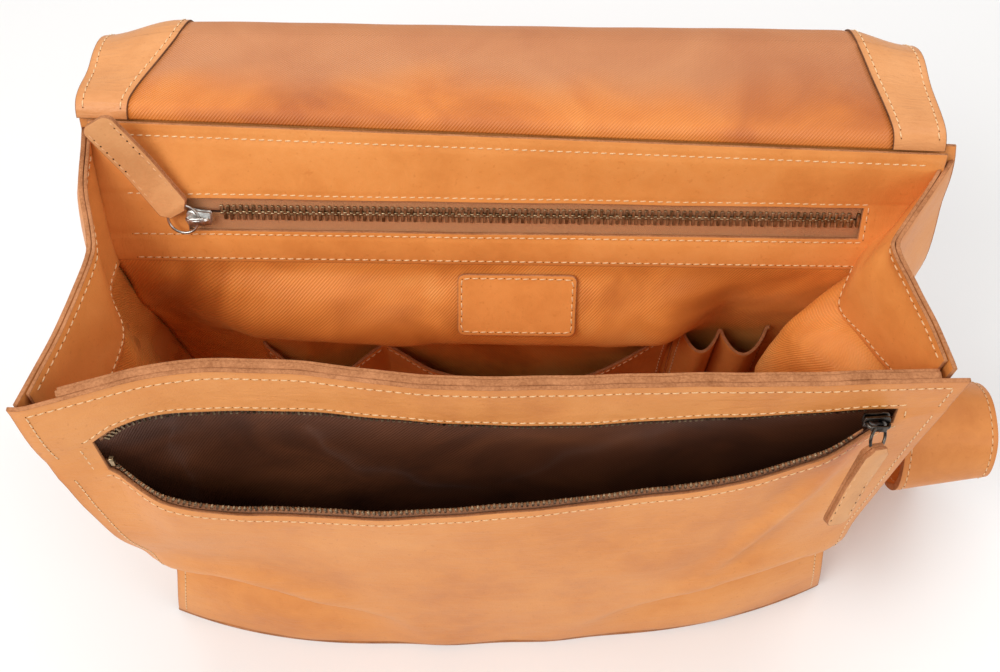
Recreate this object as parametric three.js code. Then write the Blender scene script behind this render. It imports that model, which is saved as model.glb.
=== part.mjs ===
// Leather satchel bag, standing open: mouth pulled apart, flap thrown back, front zip pocket open.
// Millimetres, +Z up, +Y towards the back, the front faces -Y. Origin: middle of the flat base.
import * as THREE from 'three';

// ---- Driving dimensions ----
const BACK_TOP = 284; // top edge of the back panel
const GUSSET_TOP_BACK = 281;
const GUSSET_TOP_FRONT = 271;
const LEATHER = 2; // outer leather
const FACING = 1.6; // thinner leather inside the mouth
const CLOTH = 0.8; // twill lining
const BASE_THICK = 2.4;
const LINING_BOTTOM = 4.5; // where the standing lining panels start
const FACING_BOTTOM = 223; // lower edge of the back facing
const GUSSET_FACING_DROP = 58;
const SIDE_LAYER = 3.3; // from the outer gusset to its facing or lining
const INNER_INSET = 10; // inner panels stop this far inside the side seams

const BACK_WINDOW = { left: -147, right: 163, low: 240.1, high: 254.7 };
const FRONT_WINDOW = { left: -176, right: 166 };
const LIP_RISE = 4; // smallest gap between the lips of the front window
const MOUTH_DROP = 31; // how far the lower lip sags at the widest stretch
const MOUTH_PUSH = 29; // how far the lower lip stands forward there
const TEETH_WIDE = 3.2;
const TEETH_DEEP = 2;
const TAPE_HIDDEN = 6; // tape sewn behind the leather
const LIP_GAP = 1.5; // from a lip's cut edge to its teeth
const LIP_FROM = -153; // the teeth's run along the lips
const LIP_TO = 148;

const STRAP_WIDE = 50;
const STRAP_THICK = 3.6;

const FLAP_HALF = 192;
const FLAP_BORDER = 23;
const FLAP_AXIS = { y: 57.5, z: 292.5 };
const FLAP_LIE = 290; // height of the thrown-back flap, a little below its hinge line
const BEND_AXIS = { y: 127, z: 288 };
const FOLD_Z = 203; // height of the fold between the hanging flap's two lengths
const FLAP_END_Z = 30;
const FLAP_LINING_OFF = 1.9; // leather middle to lining middle
const FLAP_BORDER_OFF = 2.2;

const PULL_WIDE = 15;
const PULL_LONG = 46;
const PULL_THICK = 3;
const RING_OUTER = 6.5;
const RING_INNER = 4.9;
const RING_WIRE = 1.6;

const COLOURS = {
  leather: [0xcf8a52, 0.5, 0],
  facing: [0xd89860, 0.5, 0],
  lining: [0xc0752f, 0.6, 0],
  pocket: [0x6b4326, 0.8, 0],
  tape: [0x8a5a38, 0.9, 0],
  brass: [0x7a6444, 0.4, 0.9],
  gunmetal: [0x4a4640, 0.35, 0.9],
  steel: [0xa8a8a4, 0.3, 0.9],
};

// ---- Small helpers ----
const lerp = (a, b, t) => a + (b - a) * t;

// A smooth function through [position, value] pairs.
function spline(points) {
  const last = points.length - 1;
  const slope = (k) => {
    const [a, b] = [points[Math.max(k - 1, 0)], points[Math.min(k + 1, last)]];
    return (b[1] - a[1]) / (b[0] - a[0]);
  };
  return (at) => {
    let i = 1;
    while (i < last && at > points[i][0]) i += 1;
    const [[x0, y0], [x1, y1]] = [points[i - 1], points[i]];
    const wide = x1 - x0;
    const t = Math.min(Math.max((at - x0) / wide, 0), 1);
    const bend = t * t * (3 - 2 * t);
    const lead = t * (1 - t) * (1 - t) * wide * slope(i - 1);
    const tail = t * t * (1 - t) * wide * slope(i);
    return lerp(y0, y1, bend) + lead - tail;
  };
}

// Evenly spaced values from a to b, both included.
function steps(a, b, count) {
  return Array.from({ length: count + 1 }, (_, i) => lerp(a, b, i / count));
}

function material(kind) {
  const [color, roughness, metalness] = COLOURS[kind];
  return new THREE.MeshStandardMaterial({ color, roughness, metalness });
}

const bag = new THREE.Group();

function add(name, geometry, kind, parent = bag) {
  const mesh = new THREE.Mesh(geometry, material(kind));
  mesh.name = name;
  parent.add(mesh);
  return mesh;
}

// A closed skin of even thickness about the surface at(u, v); keep(i, j) leaves cells out for a window.
function skin(us, vs, at, thick, keep = () => true) {
  const wide = us.length;
  const tall = vs.length;
  const grid = us.map((u) => vs.map((v) => at(u, v)));
  const turn = (i, j) => {
    const [a, b] = [grid[Math.min(i + 1, wide - 1)][j], grid[Math.max(i - 1, 0)][j]];
    const [c, d] = [grid[i][Math.min(j + 1, tall - 1)], grid[i][Math.max(j - 1, 0)]];
    return a.clone().sub(b).cross(c.clone().sub(d)).normalize();
  };
  const positions = [];
  const index = [];
  for (const side of [0.5, -0.5]) {
    for (let i = 0; i < wide; i += 1) {
      for (let j = 0; j < tall; j += 1) {
        positions.push(...grid[i][j].clone().addScaledVector(turn(i, j), side * thick).toArray());
      }
    }
  }
  const back = wide * tall;
  const id = (i, j) => i * tall + j;
  const filled = (i, j) => i >= 0 && j >= 0 && i < wide - 1 && j < tall - 1 && keep(i, j);
  const quad = (a, b, c, d) => index.push(a, b, c, a, c, d);
  for (let i = 0; i < wide - 1; i += 1) {
    for (let j = 0; j < tall - 1; j += 1) {
      if (!filled(i, j)) continue;
      const [a, b, c, d] = [id(i, j), id(i + 1, j), id(i + 1, j + 1), id(i, j + 1)];
      quad(a, b, c, d);
      quad(back + d, back + c, back + b, back + a);
      const rims = [
        [i, j - 1, a, b],
        [i + 1, j, b, c],
        [i, j + 1, c, d],
        [i - 1, j, d, a],
      ];
      for (const [ni, nj, from, to] of rims) {
        if (!filled(ni, nj)) quad(to, from, back + from, back + to);
      }
    }
  }
  const used = [...new Set(index)].sort((p, q) => p - q);
  const place = new Map(used.map((old, now) => [old, now]));
  const points = used.flatMap((old) => positions.slice(3 * old, 3 * old + 3));
  const geometry = new THREE.BufferGeometry();
  geometry.setAttribute('position', new THREE.Float32BufferAttribute(points, 3));
  geometry.setIndex(index.map((old) => place.get(old)));
  geometry.computeVertexNormals();
  return geometry;
}

const point = (x, y, z) => new THREE.Vector3(x, y, z);

// ---- The bag's surfaces ----
// Inner face line of the back wall: nearly upright, then leaning back below the flap.
const backY = spline([[0, 51], [70, 50], [140, 43], [200, 31], [226, 30], [250, 39.5], [284, 56]]);
// Half the bag's width: flared mouth, pulled-in waist, wide base.
const halfWidth = spline([[0, 187], [70, 177], [150, 181], [230, 188], [284, 192]]);
// The front wall's line at the mouth and at the base, from left to right.
const frontTopY = spline([
  [-192, -78], [-165, -69], [-130, -61], [-90, -60.5], [-50, -64], [-10, -66], [60, -63], [130, -60], [192, -57],
]);
const frontBaseY = spline([[-187, -61], [187, -41]]);
const frontTopZ = spline([[-192, 274], [0, 270.5], [192, 267]]);
// How far each gusset's middle folds in, by height.
const foldLeft = spline([[0, 0], [80, 18], [180, 24], [275, 15]]);
const foldRight = spline([[0, 0], [80, 20], [180, 28], [275, 22]]);
// How much of the full mouth the front window opens to, from left to right.
const lens = spline([[-176, 0.3], [-160, 0.9], [-130, 1], [-50, 1], [46, 0.8], [136, 0.5], [166, 0.1], [192, 0]]);
const lipZ = spline([[-192, 214], [-176, 219], [-140, 238], [-100, 235], [-10, 229], [60, 233], [166, 243], [192, 244]]);
// The pocket's belly by height: full below the mouth, running out at the base.
const belly = spline([[0, 0.5], [40, 0.8], [110, 1], [190, 1], [215, 1]]);

function wallY(x, z) {
  return lerp(frontBaseY(x), frontTopY(x), z / GUSSET_TOP_FRONT);
}

function outward(x) {
  const u = Math.min(Math.abs(x) / 187, 1);
  return 1 - u ** 3;
}

function lowerLip(x) {
  return lipZ(x) - LIP_RISE - MOUTH_DROP * lens(x);
}

function frontBelly(x, z) {
  const lip = MOUTH_PUSH * lens(x);
  const low = MOUTH_PUSH * outward(x);
  const t = Math.min(Math.max((lowerLip(x) - z) / 90, 0), 1);
  return lerp(lip, low, t * t * (3 - 2 * t)) * belly(z);
}

const vee = (s) => (1 - Math.abs(2 * s - 1)) ** 1.15;

function gussetTop(s) {
  return lerp(GUSSET_TOP_BACK, GUSSET_TOP_FRONT, Math.min(1.6 * s, 1));
}

// A point on a gusset: s runs from the back seam to the front seam, inside moves it inwards.
function gussetPoint(side, s, z, inside = 0) {
  const fold = side < 0 ? foldLeft(z) : foldRight(z);
  const back = backY(z) + 2;
  const front = wallY(side * halfWidth(z), z) + 2.7;
  const x = side * (halfWidth(z) - 1.5 - fold * vee(s) - inside);
  return point(x, lerp(back, front, s), z);
}

// ---- Outer leather ----
function backPanel() {
  const at = (u, z) => point(u * halfWidth(z), backY(z) + 5.2, z);
  return skin(steps(-1, 1, 2), steps(BASE_THICK + 0.6, BACK_TOP, 16), at, LEATHER);
}

function basePanel() {
  const outline = new THREE.Shape();
  const front = steps(-1, 1, 20).map((u) => {
    const x = 187 * u;
    return new THREE.Vector2(x, frontBaseY(x) - 0.5 * MOUTH_PUSH * outward(x) - 1);
  });
  outline.setFromPoints([...front, new THREE.Vector2(187, 57), new THREE.Vector2(-187, 57)]);
  return new THREE.ExtrudeGeometry(outline, { depth: BASE_THICK, bevelEnabled: false });
}

// Columns of the front panel, with one at each end of the window.
const frontColumns = [
  -1, -0.96, ...steps(FRONT_WINDOW.left / 188, FRONT_WINDOW.right / 188, 20), 0.94, 1,
];
const TOP_ROWS = [2, 1.5, 1]; // 2 is the top edge, 1 the upper lip
const LOW_ROWS = [0, -0.08, -0.2, -0.35, -0.5, -0.65, -0.8, -0.92, -1]; // 0 the lower lip, -1 the base
const frontRows = [...LOW_ROWS].reverse().concat([...TOP_ROWS].reverse());

function frontPoint(u, row) {
  const across = u * 188;
  let z = lerp(lipZ(across), frontTopZ(across), row - 1);
  if (row <= 0) z = lerp(lowerLip(across), BASE_THICK + 0.7, -row);
  const x = u * (halfWidth(z) - 0.2);
  const push = row <= 0 ? frontBelly(x, z) : 0;
  return point(x, wallY(x, z) - push, z);
}

function inFrontWindow(i) {
  const middle = 0.5 * (frontColumns[i] + frontColumns[i + 1]) * 188;
  return middle > FRONT_WINDOW.left && middle < FRONT_WINDOW.right;
}

function frontPanel() {
  const gap = LOW_ROWS.length - 1;
  return skin(frontColumns, frontRows, frontPoint, LEATHER, (i, j) => j !== gap || !inFrontWindow(i));
}

function gussetPanel(side) {
  const at = (s, t) => gussetPoint(side, s, lerp(BASE_THICK + 0.6, gussetTop(s), t));
  return skin(steps(0, 1, 8), steps(0, 1, 10), at, LEATHER);
}

add('back_panel', backPanel(), 'leather');
add('base_panel', basePanel(), 'leather');
add('front_panel', frontPanel(), 'leather');
add('gusset_left', gussetPanel(-1), 'leather');
add('gusset_right', gussetPanel(1), 'leather');

// ---- Inside of the mouth: leather facings ----
function backFacing() {
  const half = halfWidth(FACING_BOTTOM) - INNER_INSET;
  const { left, right, low, high } = BACK_WINDOW;
  const us = [-half, left, 0, right, half];
  const vs = [FACING_BOTTOM, 231, low, high, 268, BACK_TOP - 2];
  const at = (x, z) => point(x, backY(z) - 0.2, z);
  const isWindow = (i, j) => (i === 1 || i === 2) && j === 2;
  return skin(us, vs, at, FACING, (i, j) => !isWindow(i, j));
}

function frontFacing() {
  const at = (u, t) => {
    const z = lerp(234, frontTopZ(u * 180) - 0.5, t);
    const x = u * (halfWidth(z) - INNER_INSET - 2);
    return point(x, wallY(x, z) + 5.2, z);
  };
  return skin(steps(-1, 1, 16), steps(0, 1, 3), at, FACING);
}

function frontEdgePly() {
  const at = (u, t) => {
    const z = lerp(frontTopZ(u * 180) - 12, frontTopZ(u * 180), t);
    const x = u * (halfWidth(z) - INNER_INSET - 2);
    return point(x, wallY(x, z) + 2.75, z);
  };
  return skin(steps(-1, 1, 16), steps(0, 1, 1), at, 1.8);
}

function gussetFacing(side) {
  const at = (s, t) => {
    const top = gussetTop(s);
    return gussetPoint(side, s, lerp(top - GUSSET_FACING_DROP, top, t), SIDE_LAYER);
  };
  return skin(steps(0.05, 0.95, 8), steps(0, 1, 4), at, FACING);
}

add('back_facing', backFacing(), 'facing');
add('front_facing', frontFacing(), 'facing');
add('front_edge_ply', frontEdgePly(), 'facing');
add('gusset_facing_left', gussetFacing(-1), 'facing');
add('gusset_facing_right', gussetFacing(1), 'facing');

// ---- Twill lining of the main compartment ----
function backLining() {
  const at = (u, z) => point(u * (halfWidth(z) - INNER_INSET), backY(z) + 1.2, z);
  return skin(steps(-1, 1, 2), steps(LINING_BOTTOM, FACING_BOTTOM - 1, 12), at, CLOTH);
}

function frontLining() {
  const at = (u, z) => {
    const x = u * (halfWidth(z) - INNER_INSET - 2);
    return point(x, wallY(x, z) + 5.2, z);
  };
  return skin(steps(-1, 1, 12), steps(LINING_BOTTOM, 232.5, 8), at, CLOTH);
}

function sideLining(side) {
  const at = (s, t) => {
    const z = lerp(LINING_BOTTOM, gussetTop(s) - GUSSET_FACING_DROP - 1.5, t);
    return gussetPoint(side, s, z, SIDE_LAYER);
  };
  return skin(steps(0.05, 0.95, 8), steps(0, 1, 8), at, CLOTH);
}

function baseLining() {
  const outline = new THREE.Shape();
  outline.setFromPoints([
    new THREE.Vector2(-182, -48), new THREE.Vector2(182, -31),
    new THREE.Vector2(182, 49), new THREE.Vector2(-182, 49),
  ]);
  return new THREE.ExtrudeGeometry(outline, { depth: CLOTH, bevelEnabled: false });
}

add('lining_back', backLining(), 'lining');
add('lining_front', frontLining(), 'lining');
add('lining_left', sideLining(-1), 'lining');
add('lining_right', sideLining(1), 'lining');
add('lining_base', baseLining(), 'lining').position.z = BASE_THICK + 0.6;

// ---- Zip pocket linings ----
function backPocketLining() {
  const at = (x, z) => point(x, backY(z) + 2.9, z);
  return skin([-155, 0, 170], steps(110, 262, 10), at, CLOTH);
}

function frontPocketLining() {
  const at = (u, t) => {
    const x = lerp(-168, 160, (u + 1) / 2);
    const z = lerp(30, lipZ(x) + 5, t);
    return point(x, wallY(x, z) + 3.4, z);
  };
  return skin(steps(-1, 1, 12), steps(0, 1, 8), at, CLOTH);
}

add('back_pocket_lining', backPocketLining(), 'pocket');
add('front_pocket_lining', frontPocketLining(), 'pocket');

// ---- Organiser on the back wall ----
const organiserTop = spline([[-130, 130], [-98, 108], [-65, 131], [-36, 112], [40, 112], [88, 156]]);
const ORGANISER_BOTTOM = 30;

// How far a slip pocket stands off the lining between its stitch lines.
function pocketStand(x, from, to, deep) {
  const t = (x - from) / (to - from);
  return t <= 0 || t >= 1 ? 0 : deep * Math.sin(Math.PI * t) ** 0.7;
}

function organiserPanel() {
  const at = (x, t) => {
    const z = lerp(ORGANISER_BOTTOM, organiserTop(x), t);
    const stand = pocketStand(x, -130, -65, 12) + pocketStand(x, -65, 88, 14);
    return point(x, backY(z) - 0.9 - stand * (0.55 + 0.45 * t), z);
  };
  const columns = [...steps(-130, -65, 6), ...steps(-45, 88, 10)];
  return skin(columns, steps(0, 1, 5), at, FACING);
}

function penLoops() {
  const at = (x, t) => {
    const stand = pocketStand(x, 92, 112, 13) + pocketStand(x, 112, 136, 14);
    const z = lerp(60, 158 - 0.5 * stand, t);
    return point(x, backY(z) - 0.9 - stand, z);
  };
  return skin([...steps(90, 112, 8), ...steps(114.4, 138, 8)], steps(0, 1, 4), at, FACING);
}

function labelPatch() {
  const at = (x, z) => point(x, backY(z) - 0.6, z);
  return skin([-23, 34], steps(176, 213, 3), at, FACING);
}

add('organiser_panel', organiserPanel(), 'facing');
add('pen_loops', penLoops(), 'facing');
add('label_patch', labelPatch(), 'facing');

// ---- Back zip: closed, straight ----
const backMiddle = 0.5 * (BACK_WINDOW.low + BACK_WINDOW.high);
const BACK_LEAN = Math.atan2(backY(255) - backY(240), 15);

function backStrip(x0, x1, z0, z1, off, thick) {
  const at = (x, z) => point(x, backY(z) + off, z);
  return skin([x0, x1], steps(z0, z1, 2), at, thick);
}

add('back_zip_tape_upper', backStrip(-150, 168, 250.7, 260, 1.7, 0.7), 'tape');
add('back_zip_tape_lower', backStrip(-150, 168, 235, 244, 1.7, 0.7), 'tape');
add('back_zip_teeth_upper', backStrip(-134, 160, 247.7, 249.9, 0.3, TEETH_DEEP), 'brass');
add('back_zip_teeth_lower', backStrip(-134, 160, 245.4, 247.3, 0.3, TEETH_DEEP), 'brass');
add('back_zip_end_stop', backStrip(160.6, 162.3, 245, 250, 0.3, TEETH_DEEP), 'brass');

// ---- Front zip: open, its teeth along the two lips ----
function lipStrip(x0, x1, lip, from, to, off, thick) {
  const at = (x, t) => {
    const z = (lip === 'upper' ? lipZ(x) : lowerLip(x)) + lerp(from, to, t);
    const push = lip === 'upper' ? 0 : frontBelly(x, lowerLip(x));
    return point(x, wallY(x, z) - push + off, z);
  };
  return skin(steps(x0, x1, 20), steps(0, 1, 1), at, thick);
}

add('front_zip_tape_upper', lipStrip(LIP_FROM, 155, 'upper', 0.5, TAPE_HIDDEN, 2, 0.7), 'tape');
add('front_zip_tape_lower', lipStrip(LIP_FROM, LIP_TO, 'lower', -TAPE_HIDDEN, -0.5, 2.3, 0.7), 'tape');
const upperTeeth = lipStrip(LIP_FROM, LIP_TO, 'upper', -LIP_GAP - TEETH_WIDE, -LIP_GAP, 1, TEETH_DEEP);
add('front_zip_teeth_upper', upperTeeth, 'brass');
const lowerTeeth = lipStrip(LIP_FROM, LIP_TO, 'lower', LIP_GAP, LIP_GAP + TEETH_WIDE, 1, TEETH_DEEP);
add('front_zip_teeth_lower', lowerTeeth, 'brass');
add('front_zip_end_stop', lipStrip(-168, -164.5, 'lower', 6, 9, 0, TEETH_DEEP), 'brass');

// ---- Sliders, rings and pulls ----
function sliderSolid() {
  const shape = new THREE.Shape();
  shape.moveTo(-6, -3.2);
  shape.lineTo(-6, 3.2);
  shape.absarc(1.5, 0, 4.5, Math.PI / 2, -Math.PI / 2, true);
  shape.closePath();
  return new THREE.ExtrudeGeometry(shape, { depth: 2.8, bevelEnabled: false, curveSegments: 6 });
}

function ringSolid() {
  const shape = new THREE.Shape();
  shape.absarc(0, 0, RING_OUTER, 0, 2 * Math.PI);
  shape.holes.push(new THREE.Path().absarc(0, 0, RING_INNER, 0, 2 * Math.PI, true));
  return new THREE.ExtrudeGeometry(shape, { depth: RING_WIRE, bevelEnabled: false, curveSegments: 12 });
}

// A leather pull along +X from the ring's outside, rounded at its far end.
function pullSolid() {
  const half = PULL_WIDE / 2;
  const start = RING_OUTER + 0.5;
  const end = start + PULL_LONG - half;
  const shape = new THREE.Shape();
  shape.moveTo(start, -half + 3);
  shape.lineTo(start + 3, -half);
  shape.lineTo(end, -half);
  shape.absarc(end, 0, half, -Math.PI / 2, Math.PI / 2);
  shape.lineTo(start + 3, half);
  shape.lineTo(start, half - 3);
  shape.closePath();
  return new THREE.ExtrudeGeometry(shape, { depth: PULL_THICK, bevelEnabled: false, curveSegments: 6 });
}

// A group whose local Z is the surface's normal and whose local X and Y lie in it.
function frameAt(origin, xAxis, normal) {
  const group = new THREE.Group();
  const z = normal.clone().normalize();
  const y = z.clone().cross(xAxis).normalize();
  const x = y.clone().cross(z);
  group.setRotationFromMatrix(new THREE.Matrix4().makeBasis(x, y, z));
  group.position.copy(origin);
  bag.add(group);
  return group;
}

const BACK_SLIDER = point(-141, backY(backMiddle) - 0.2, backMiddle);
const backNormal = point(0, -Math.cos(BACK_LEAN), Math.sin(BACK_LEAN));
const backZip = frameAt(BACK_SLIDER, point(1, 0, 0), backNormal);
add('back_zip_slider', sliderSolid(), 'steel', backZip).position.z = 1.9;
add('back_zip_ring', ringSolid(), 'steel', backZip).position.set(-12.9, 0, 2.6);
const BACK_PULL_TURN = THREE.MathUtils.degToRad(120);
const backPull = add('back_zip_pull', pullSolid(), 'facing', backZip);
backPull.position.set(-12.9, 0, 1.7);
backPull.rotation.z = BACK_PULL_TURN;

const FRONT_SLIDER = point(158, wallY(158, 239) - 0.6, 239);
const frontZip = frameAt(FRONT_SLIDER, point(-1, 0.02, 0.03), point(0, -1, 0.12));
add('front_zip_slider', sliderSolid(), 'gunmetal', frontZip).position.z = 2.2;
const FRONT_RING = point(157, -71, 231);
const FRONT_PULL_END = point(143, -101, 190);
const pullWay = FRONT_PULL_END.clone().sub(FRONT_RING).normalize();
const pullFace = point(0.35, -0.9, 0.45);
const frontPull = frameAt(FRONT_RING, pullWay, pullFace);
add('front_zip_ring', ringSolid(), 'gunmetal', frontPull).position.z = 1.2;
add('front_zip_pull', pullSolid(), 'facing', frontPull).position.z = 0.5;

// ---- Shoulder strap: sewn to the back panel at both ends, a standing bight at the right side ----
// Each row is a point on the middle line and the direction across the strap's width.
const STRAP_ROUTE = [
  [[160, 56, 266], [1, 0, 0]],
  [[160, 46, 243], [1, 0, 0]],
  [[160, 40.4, 222], [1, 0, 0.04]],
  [[164, 49, 190], [1, 0, 0.12]],
  [[176, 72, 142], [0.97, 0, 0.24]],
  [[196, 94, 85], [0.95, 0, 0.3]],
  [[216, 104, 38], [0.95, 0, 0.3]],
  [[228, 98, 8], [1, 0, 0.05]],
  [[232, 76, 3.4], [1, 0, 0]],
  [[233, 52, 5], [1, 0, 0]],
  [[233, 31, 22], [1, 0, 0]],
  [[233, 20, 52], [1, 0, 0]],
  [[233, 6, 80], [1, 0.06, 0]],
  [[233, -14, 90], [1, 0.14, 0.06]],
  [[233, -22, 106], [1, 0.16, 0.02]],
  [[233, -12, 126], [1, 0.08, -0.08]],
  [[233, 10, 132], [1, -0.02, -0.14]],
  [[234, 30, 118], [1, -0.08, -0.1]],
  [[235, 42, 90], [1, -0.04, 0]],
  [[234, 53, 62], [1, -0.3, 0.1]],
  [[226, 66, 42], [0.75, -0.55, 0.45]],
  [[206, 76, 33], [0.35, -0.3, 0.9]],
  [[176, 76, 29], [0, 0, 1]],
  [[110, 72, 28.5], [0, 0, 1]],
  [[30, 70, 28.5], [0, 0, 1]],
  [[-50, 71, 31], [0.05, 0, 1]],
  [[-112, 76, 48], [0.5, 0, 0.87]],
  [[-152, 78, 96], [0.9, 0, 0.44]],
  [[-161, 64, 152], [1, 0, 0.1]],
  [[-160, 48, 192], [1, 0, 0.02]],
  [[-160, 40.4, 222], [1, 0, 0]],
  [[-160, 46, 243], [1, 0, 0]],
  [[-160, 56, 266], [1, 0, 0]],
];

function shoulderStrap() {
  const middle = new THREE.CatmullRomCurve3(STRAP_ROUTE.map(([p]) => point(...p)), false, 'centripetal');
  const across = new THREE.CatmullRomCurve3(STRAP_ROUTE.map(([, w]) => point(...w)), false, 'centripetal');
  const at = (u, t) => middle.getPoint(t).addScaledVector(across.getPoint(t).normalize(), u);
  return skin([-STRAP_WIDE / 2, STRAP_WIDE / 2], steps(0, 1, 110), at, STRAP_THICK);
}

add('shoulder_strap', shoulderStrap(), 'leather');

// ---- Flap in three lengths, lining outwards while it is thrown back ----
// place(along, off) gives y and z from the distance along the flap and the distance off the leather.
function flapLength(name, from, to, place) {
  const plate = (x0, x1, a, b, off, thick) => {
    const at = (x, along) => point(x, ...place(along, off));
    return skin([x0, x1], steps(a, b, 3), at, thick);
  };
  const inner = FLAP_HALF - FLAP_BORDER;
  add(`flap_${name}_leather`, plate(-FLAP_HALF, FLAP_HALF, from, to, 0, LEATHER), 'leather');
  const end = name === 'front' ? to - FLAP_BORDER - 0.4 : to;
  const lining = plate(-inner + 0.4, inner - 0.4, from, end, FLAP_LINING_OFF, CLOTH);
  add(`flap_${name}_lining`, lining, 'lining');
  for (const [label, side] of [['left', -1], ['right', 1]]) {
    const edges = side < 0 ? [-FLAP_HALF, -inner] : [inner, FLAP_HALF];
    add(`flap_${name}_border_${label}`, plate(...edges, from, end, FLAP_BORDER_OFF, 1.4), 'facing');
  }
  if (name === 'front') {
    const hem = plate(-FLAP_HALF, FLAP_HALF, end + 0.4, to, FLAP_BORDER_OFF, 1.4);
    add('flap_front_border_end', hem, 'facing');
  }
}

flapLength('top', 4, BEND_AXIS.y - FLAP_AXIS.y - 1, (along, off) => [FLAP_AXIS.y + along, FLAP_LIE + off]);
const hang = (along, off) => [BEND_AXIS.y + 2 + off, BEND_AXIS.z - along];
flapLength('middle', 4, BEND_AXIS.z - FOLD_Z - 5, hang);
flapLength('front', BEND_AXIS.z - FOLD_Z + 5, BEND_AXIS.z - FLAP_END_Z, hang);

export default bag;
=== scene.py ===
"""Leather satchel with its flap thrown back: the looks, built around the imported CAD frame."""
import math

import bmesh
import bpy
from mathutils import Matrix, Vector
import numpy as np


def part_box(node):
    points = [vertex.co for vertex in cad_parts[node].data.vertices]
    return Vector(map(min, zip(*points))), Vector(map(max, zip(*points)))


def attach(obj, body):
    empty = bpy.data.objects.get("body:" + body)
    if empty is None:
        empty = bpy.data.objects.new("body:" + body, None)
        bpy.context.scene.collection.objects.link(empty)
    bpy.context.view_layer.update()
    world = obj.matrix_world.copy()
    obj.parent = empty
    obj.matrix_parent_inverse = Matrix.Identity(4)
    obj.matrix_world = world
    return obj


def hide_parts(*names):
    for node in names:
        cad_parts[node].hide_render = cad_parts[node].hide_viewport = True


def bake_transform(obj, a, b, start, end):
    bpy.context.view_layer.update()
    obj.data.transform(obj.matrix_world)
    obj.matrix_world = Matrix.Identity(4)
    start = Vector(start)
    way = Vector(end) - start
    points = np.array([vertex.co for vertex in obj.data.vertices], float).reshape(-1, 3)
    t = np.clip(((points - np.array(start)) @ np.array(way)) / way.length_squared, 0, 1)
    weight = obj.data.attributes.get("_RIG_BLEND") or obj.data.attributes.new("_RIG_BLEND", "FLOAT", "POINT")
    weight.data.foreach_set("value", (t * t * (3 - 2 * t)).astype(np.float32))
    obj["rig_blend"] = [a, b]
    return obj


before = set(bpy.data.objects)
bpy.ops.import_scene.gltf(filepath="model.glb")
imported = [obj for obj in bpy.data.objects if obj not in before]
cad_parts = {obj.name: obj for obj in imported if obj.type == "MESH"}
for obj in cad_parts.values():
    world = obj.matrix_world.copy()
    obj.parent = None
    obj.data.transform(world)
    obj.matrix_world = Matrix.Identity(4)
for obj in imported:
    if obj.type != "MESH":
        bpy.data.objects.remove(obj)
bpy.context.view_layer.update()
MM = 0.001
scene = bpy.context.scene

# ---------------------------------------------------------------- camera
CAMERA_AT = (-2.4, -324.7, 721.0)  # mm
LOOK_DOWN = math.radians(57.79)
CAMERA_ROLL = math.radians(0.76)
LENS = 46.35  # mm, on a 36 mm wide sensor


def axes(x, y, z, origin):
    """The matrix of a frame that stands at origin with these three directions."""
    turn = Matrix((x, y, z)).transposed().to_4x4()
    turn.translation = origin
    return turn


def make_camera():
    data = bpy.data.cameras.new("camera")
    data.lens = LENS
    data.sensor_width = 36
    camera = bpy.data.objects.new("camera", data)
    scene.collection.objects.link(camera)
    forward = Vector((0, math.cos(LOOK_DOWN), -math.sin(LOOK_DOWN)))
    up = Vector((0, math.sin(LOOK_DOWN), math.cos(LOOK_DOWN)))
    right = Vector((1, 0, 0))
    across = math.cos(CAMERA_ROLL) * right + math.sin(CAMERA_ROLL) * up
    rise = -math.sin(CAMERA_ROLL) * right + math.cos(CAMERA_ROLL) * up
    camera.matrix_world = axes(across, rise, -forward, Vector(CAMERA_AT) * MM)
    scene.camera = camera


make_camera()


# ---------------------------------------------------------------- helpers
def lerp(a, b, t):
    return a + (b - a) * t


def clamp(t, low=0.0, high=1.0):
    return min(max(t, low), high)


def smooth(a, b, x):
    """0 before a, 1 after b, and a soft step between."""
    t = clamp((x - a) / (b - a))
    return t * t * (3 - 2 * t)


def hump(x, middle, wide):
    """A bell of height 1 at middle."""
    return math.exp(-((x - middle) / wide) ** 2)


def steps(a, b, count):
    return [lerp(a, b, i / count) for i in range(count + 1)]


def spline(points):
    """A smooth function through (position, value) pairs, the same one as in the part's source."""
    last = len(points) - 1

    def slope(k):
        (xa, ya), (xb, yb) = points[max(k - 1, 0)], points[min(k + 1, last)]
        return (yb - ya) / (xb - xa)

    def value(at):
        i = 1
        while i < last and at > points[i][0]:
            i += 1
        (x0, y0), (x1, y1) = points[i - 1], points[i]
        wide = x1 - x0
        t = clamp((at - x0) / wide)
        bend = t * t * (3 - 2 * t)
        lead = t * (1 - t) ** 2 * wide * slope(i - 1)
        tail = t * t * (1 - t) * wide * slope(i)
        return lerp(y0, y1, bend) + lead - tail

    return value


def ripple(x, z, seed=0.0):
    """A gentle uneven wave from -1 to 1, the same on each run."""
    a = math.sin(x * 0.061 + z * 0.023 + seed) * math.sin(z * 0.047 - x * 0.019 + 2 * seed)
    b = math.sin(x * 0.137 - z * 0.071 + 3 * seed) * math.sin(z * 0.113 + x * 0.053 + seed)
    return 0.65 * a + 0.35 * b


def srgb(r, g, b):
    """Linear colour from 0 to 255 screen values."""
    def channel(c):
        c /= 255
        return c / 12.92 if c <= 0.04045 else ((c + 0.055) / 1.055) ** 2.4
    return (channel(r), channel(g), channel(b), 1.0)


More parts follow.
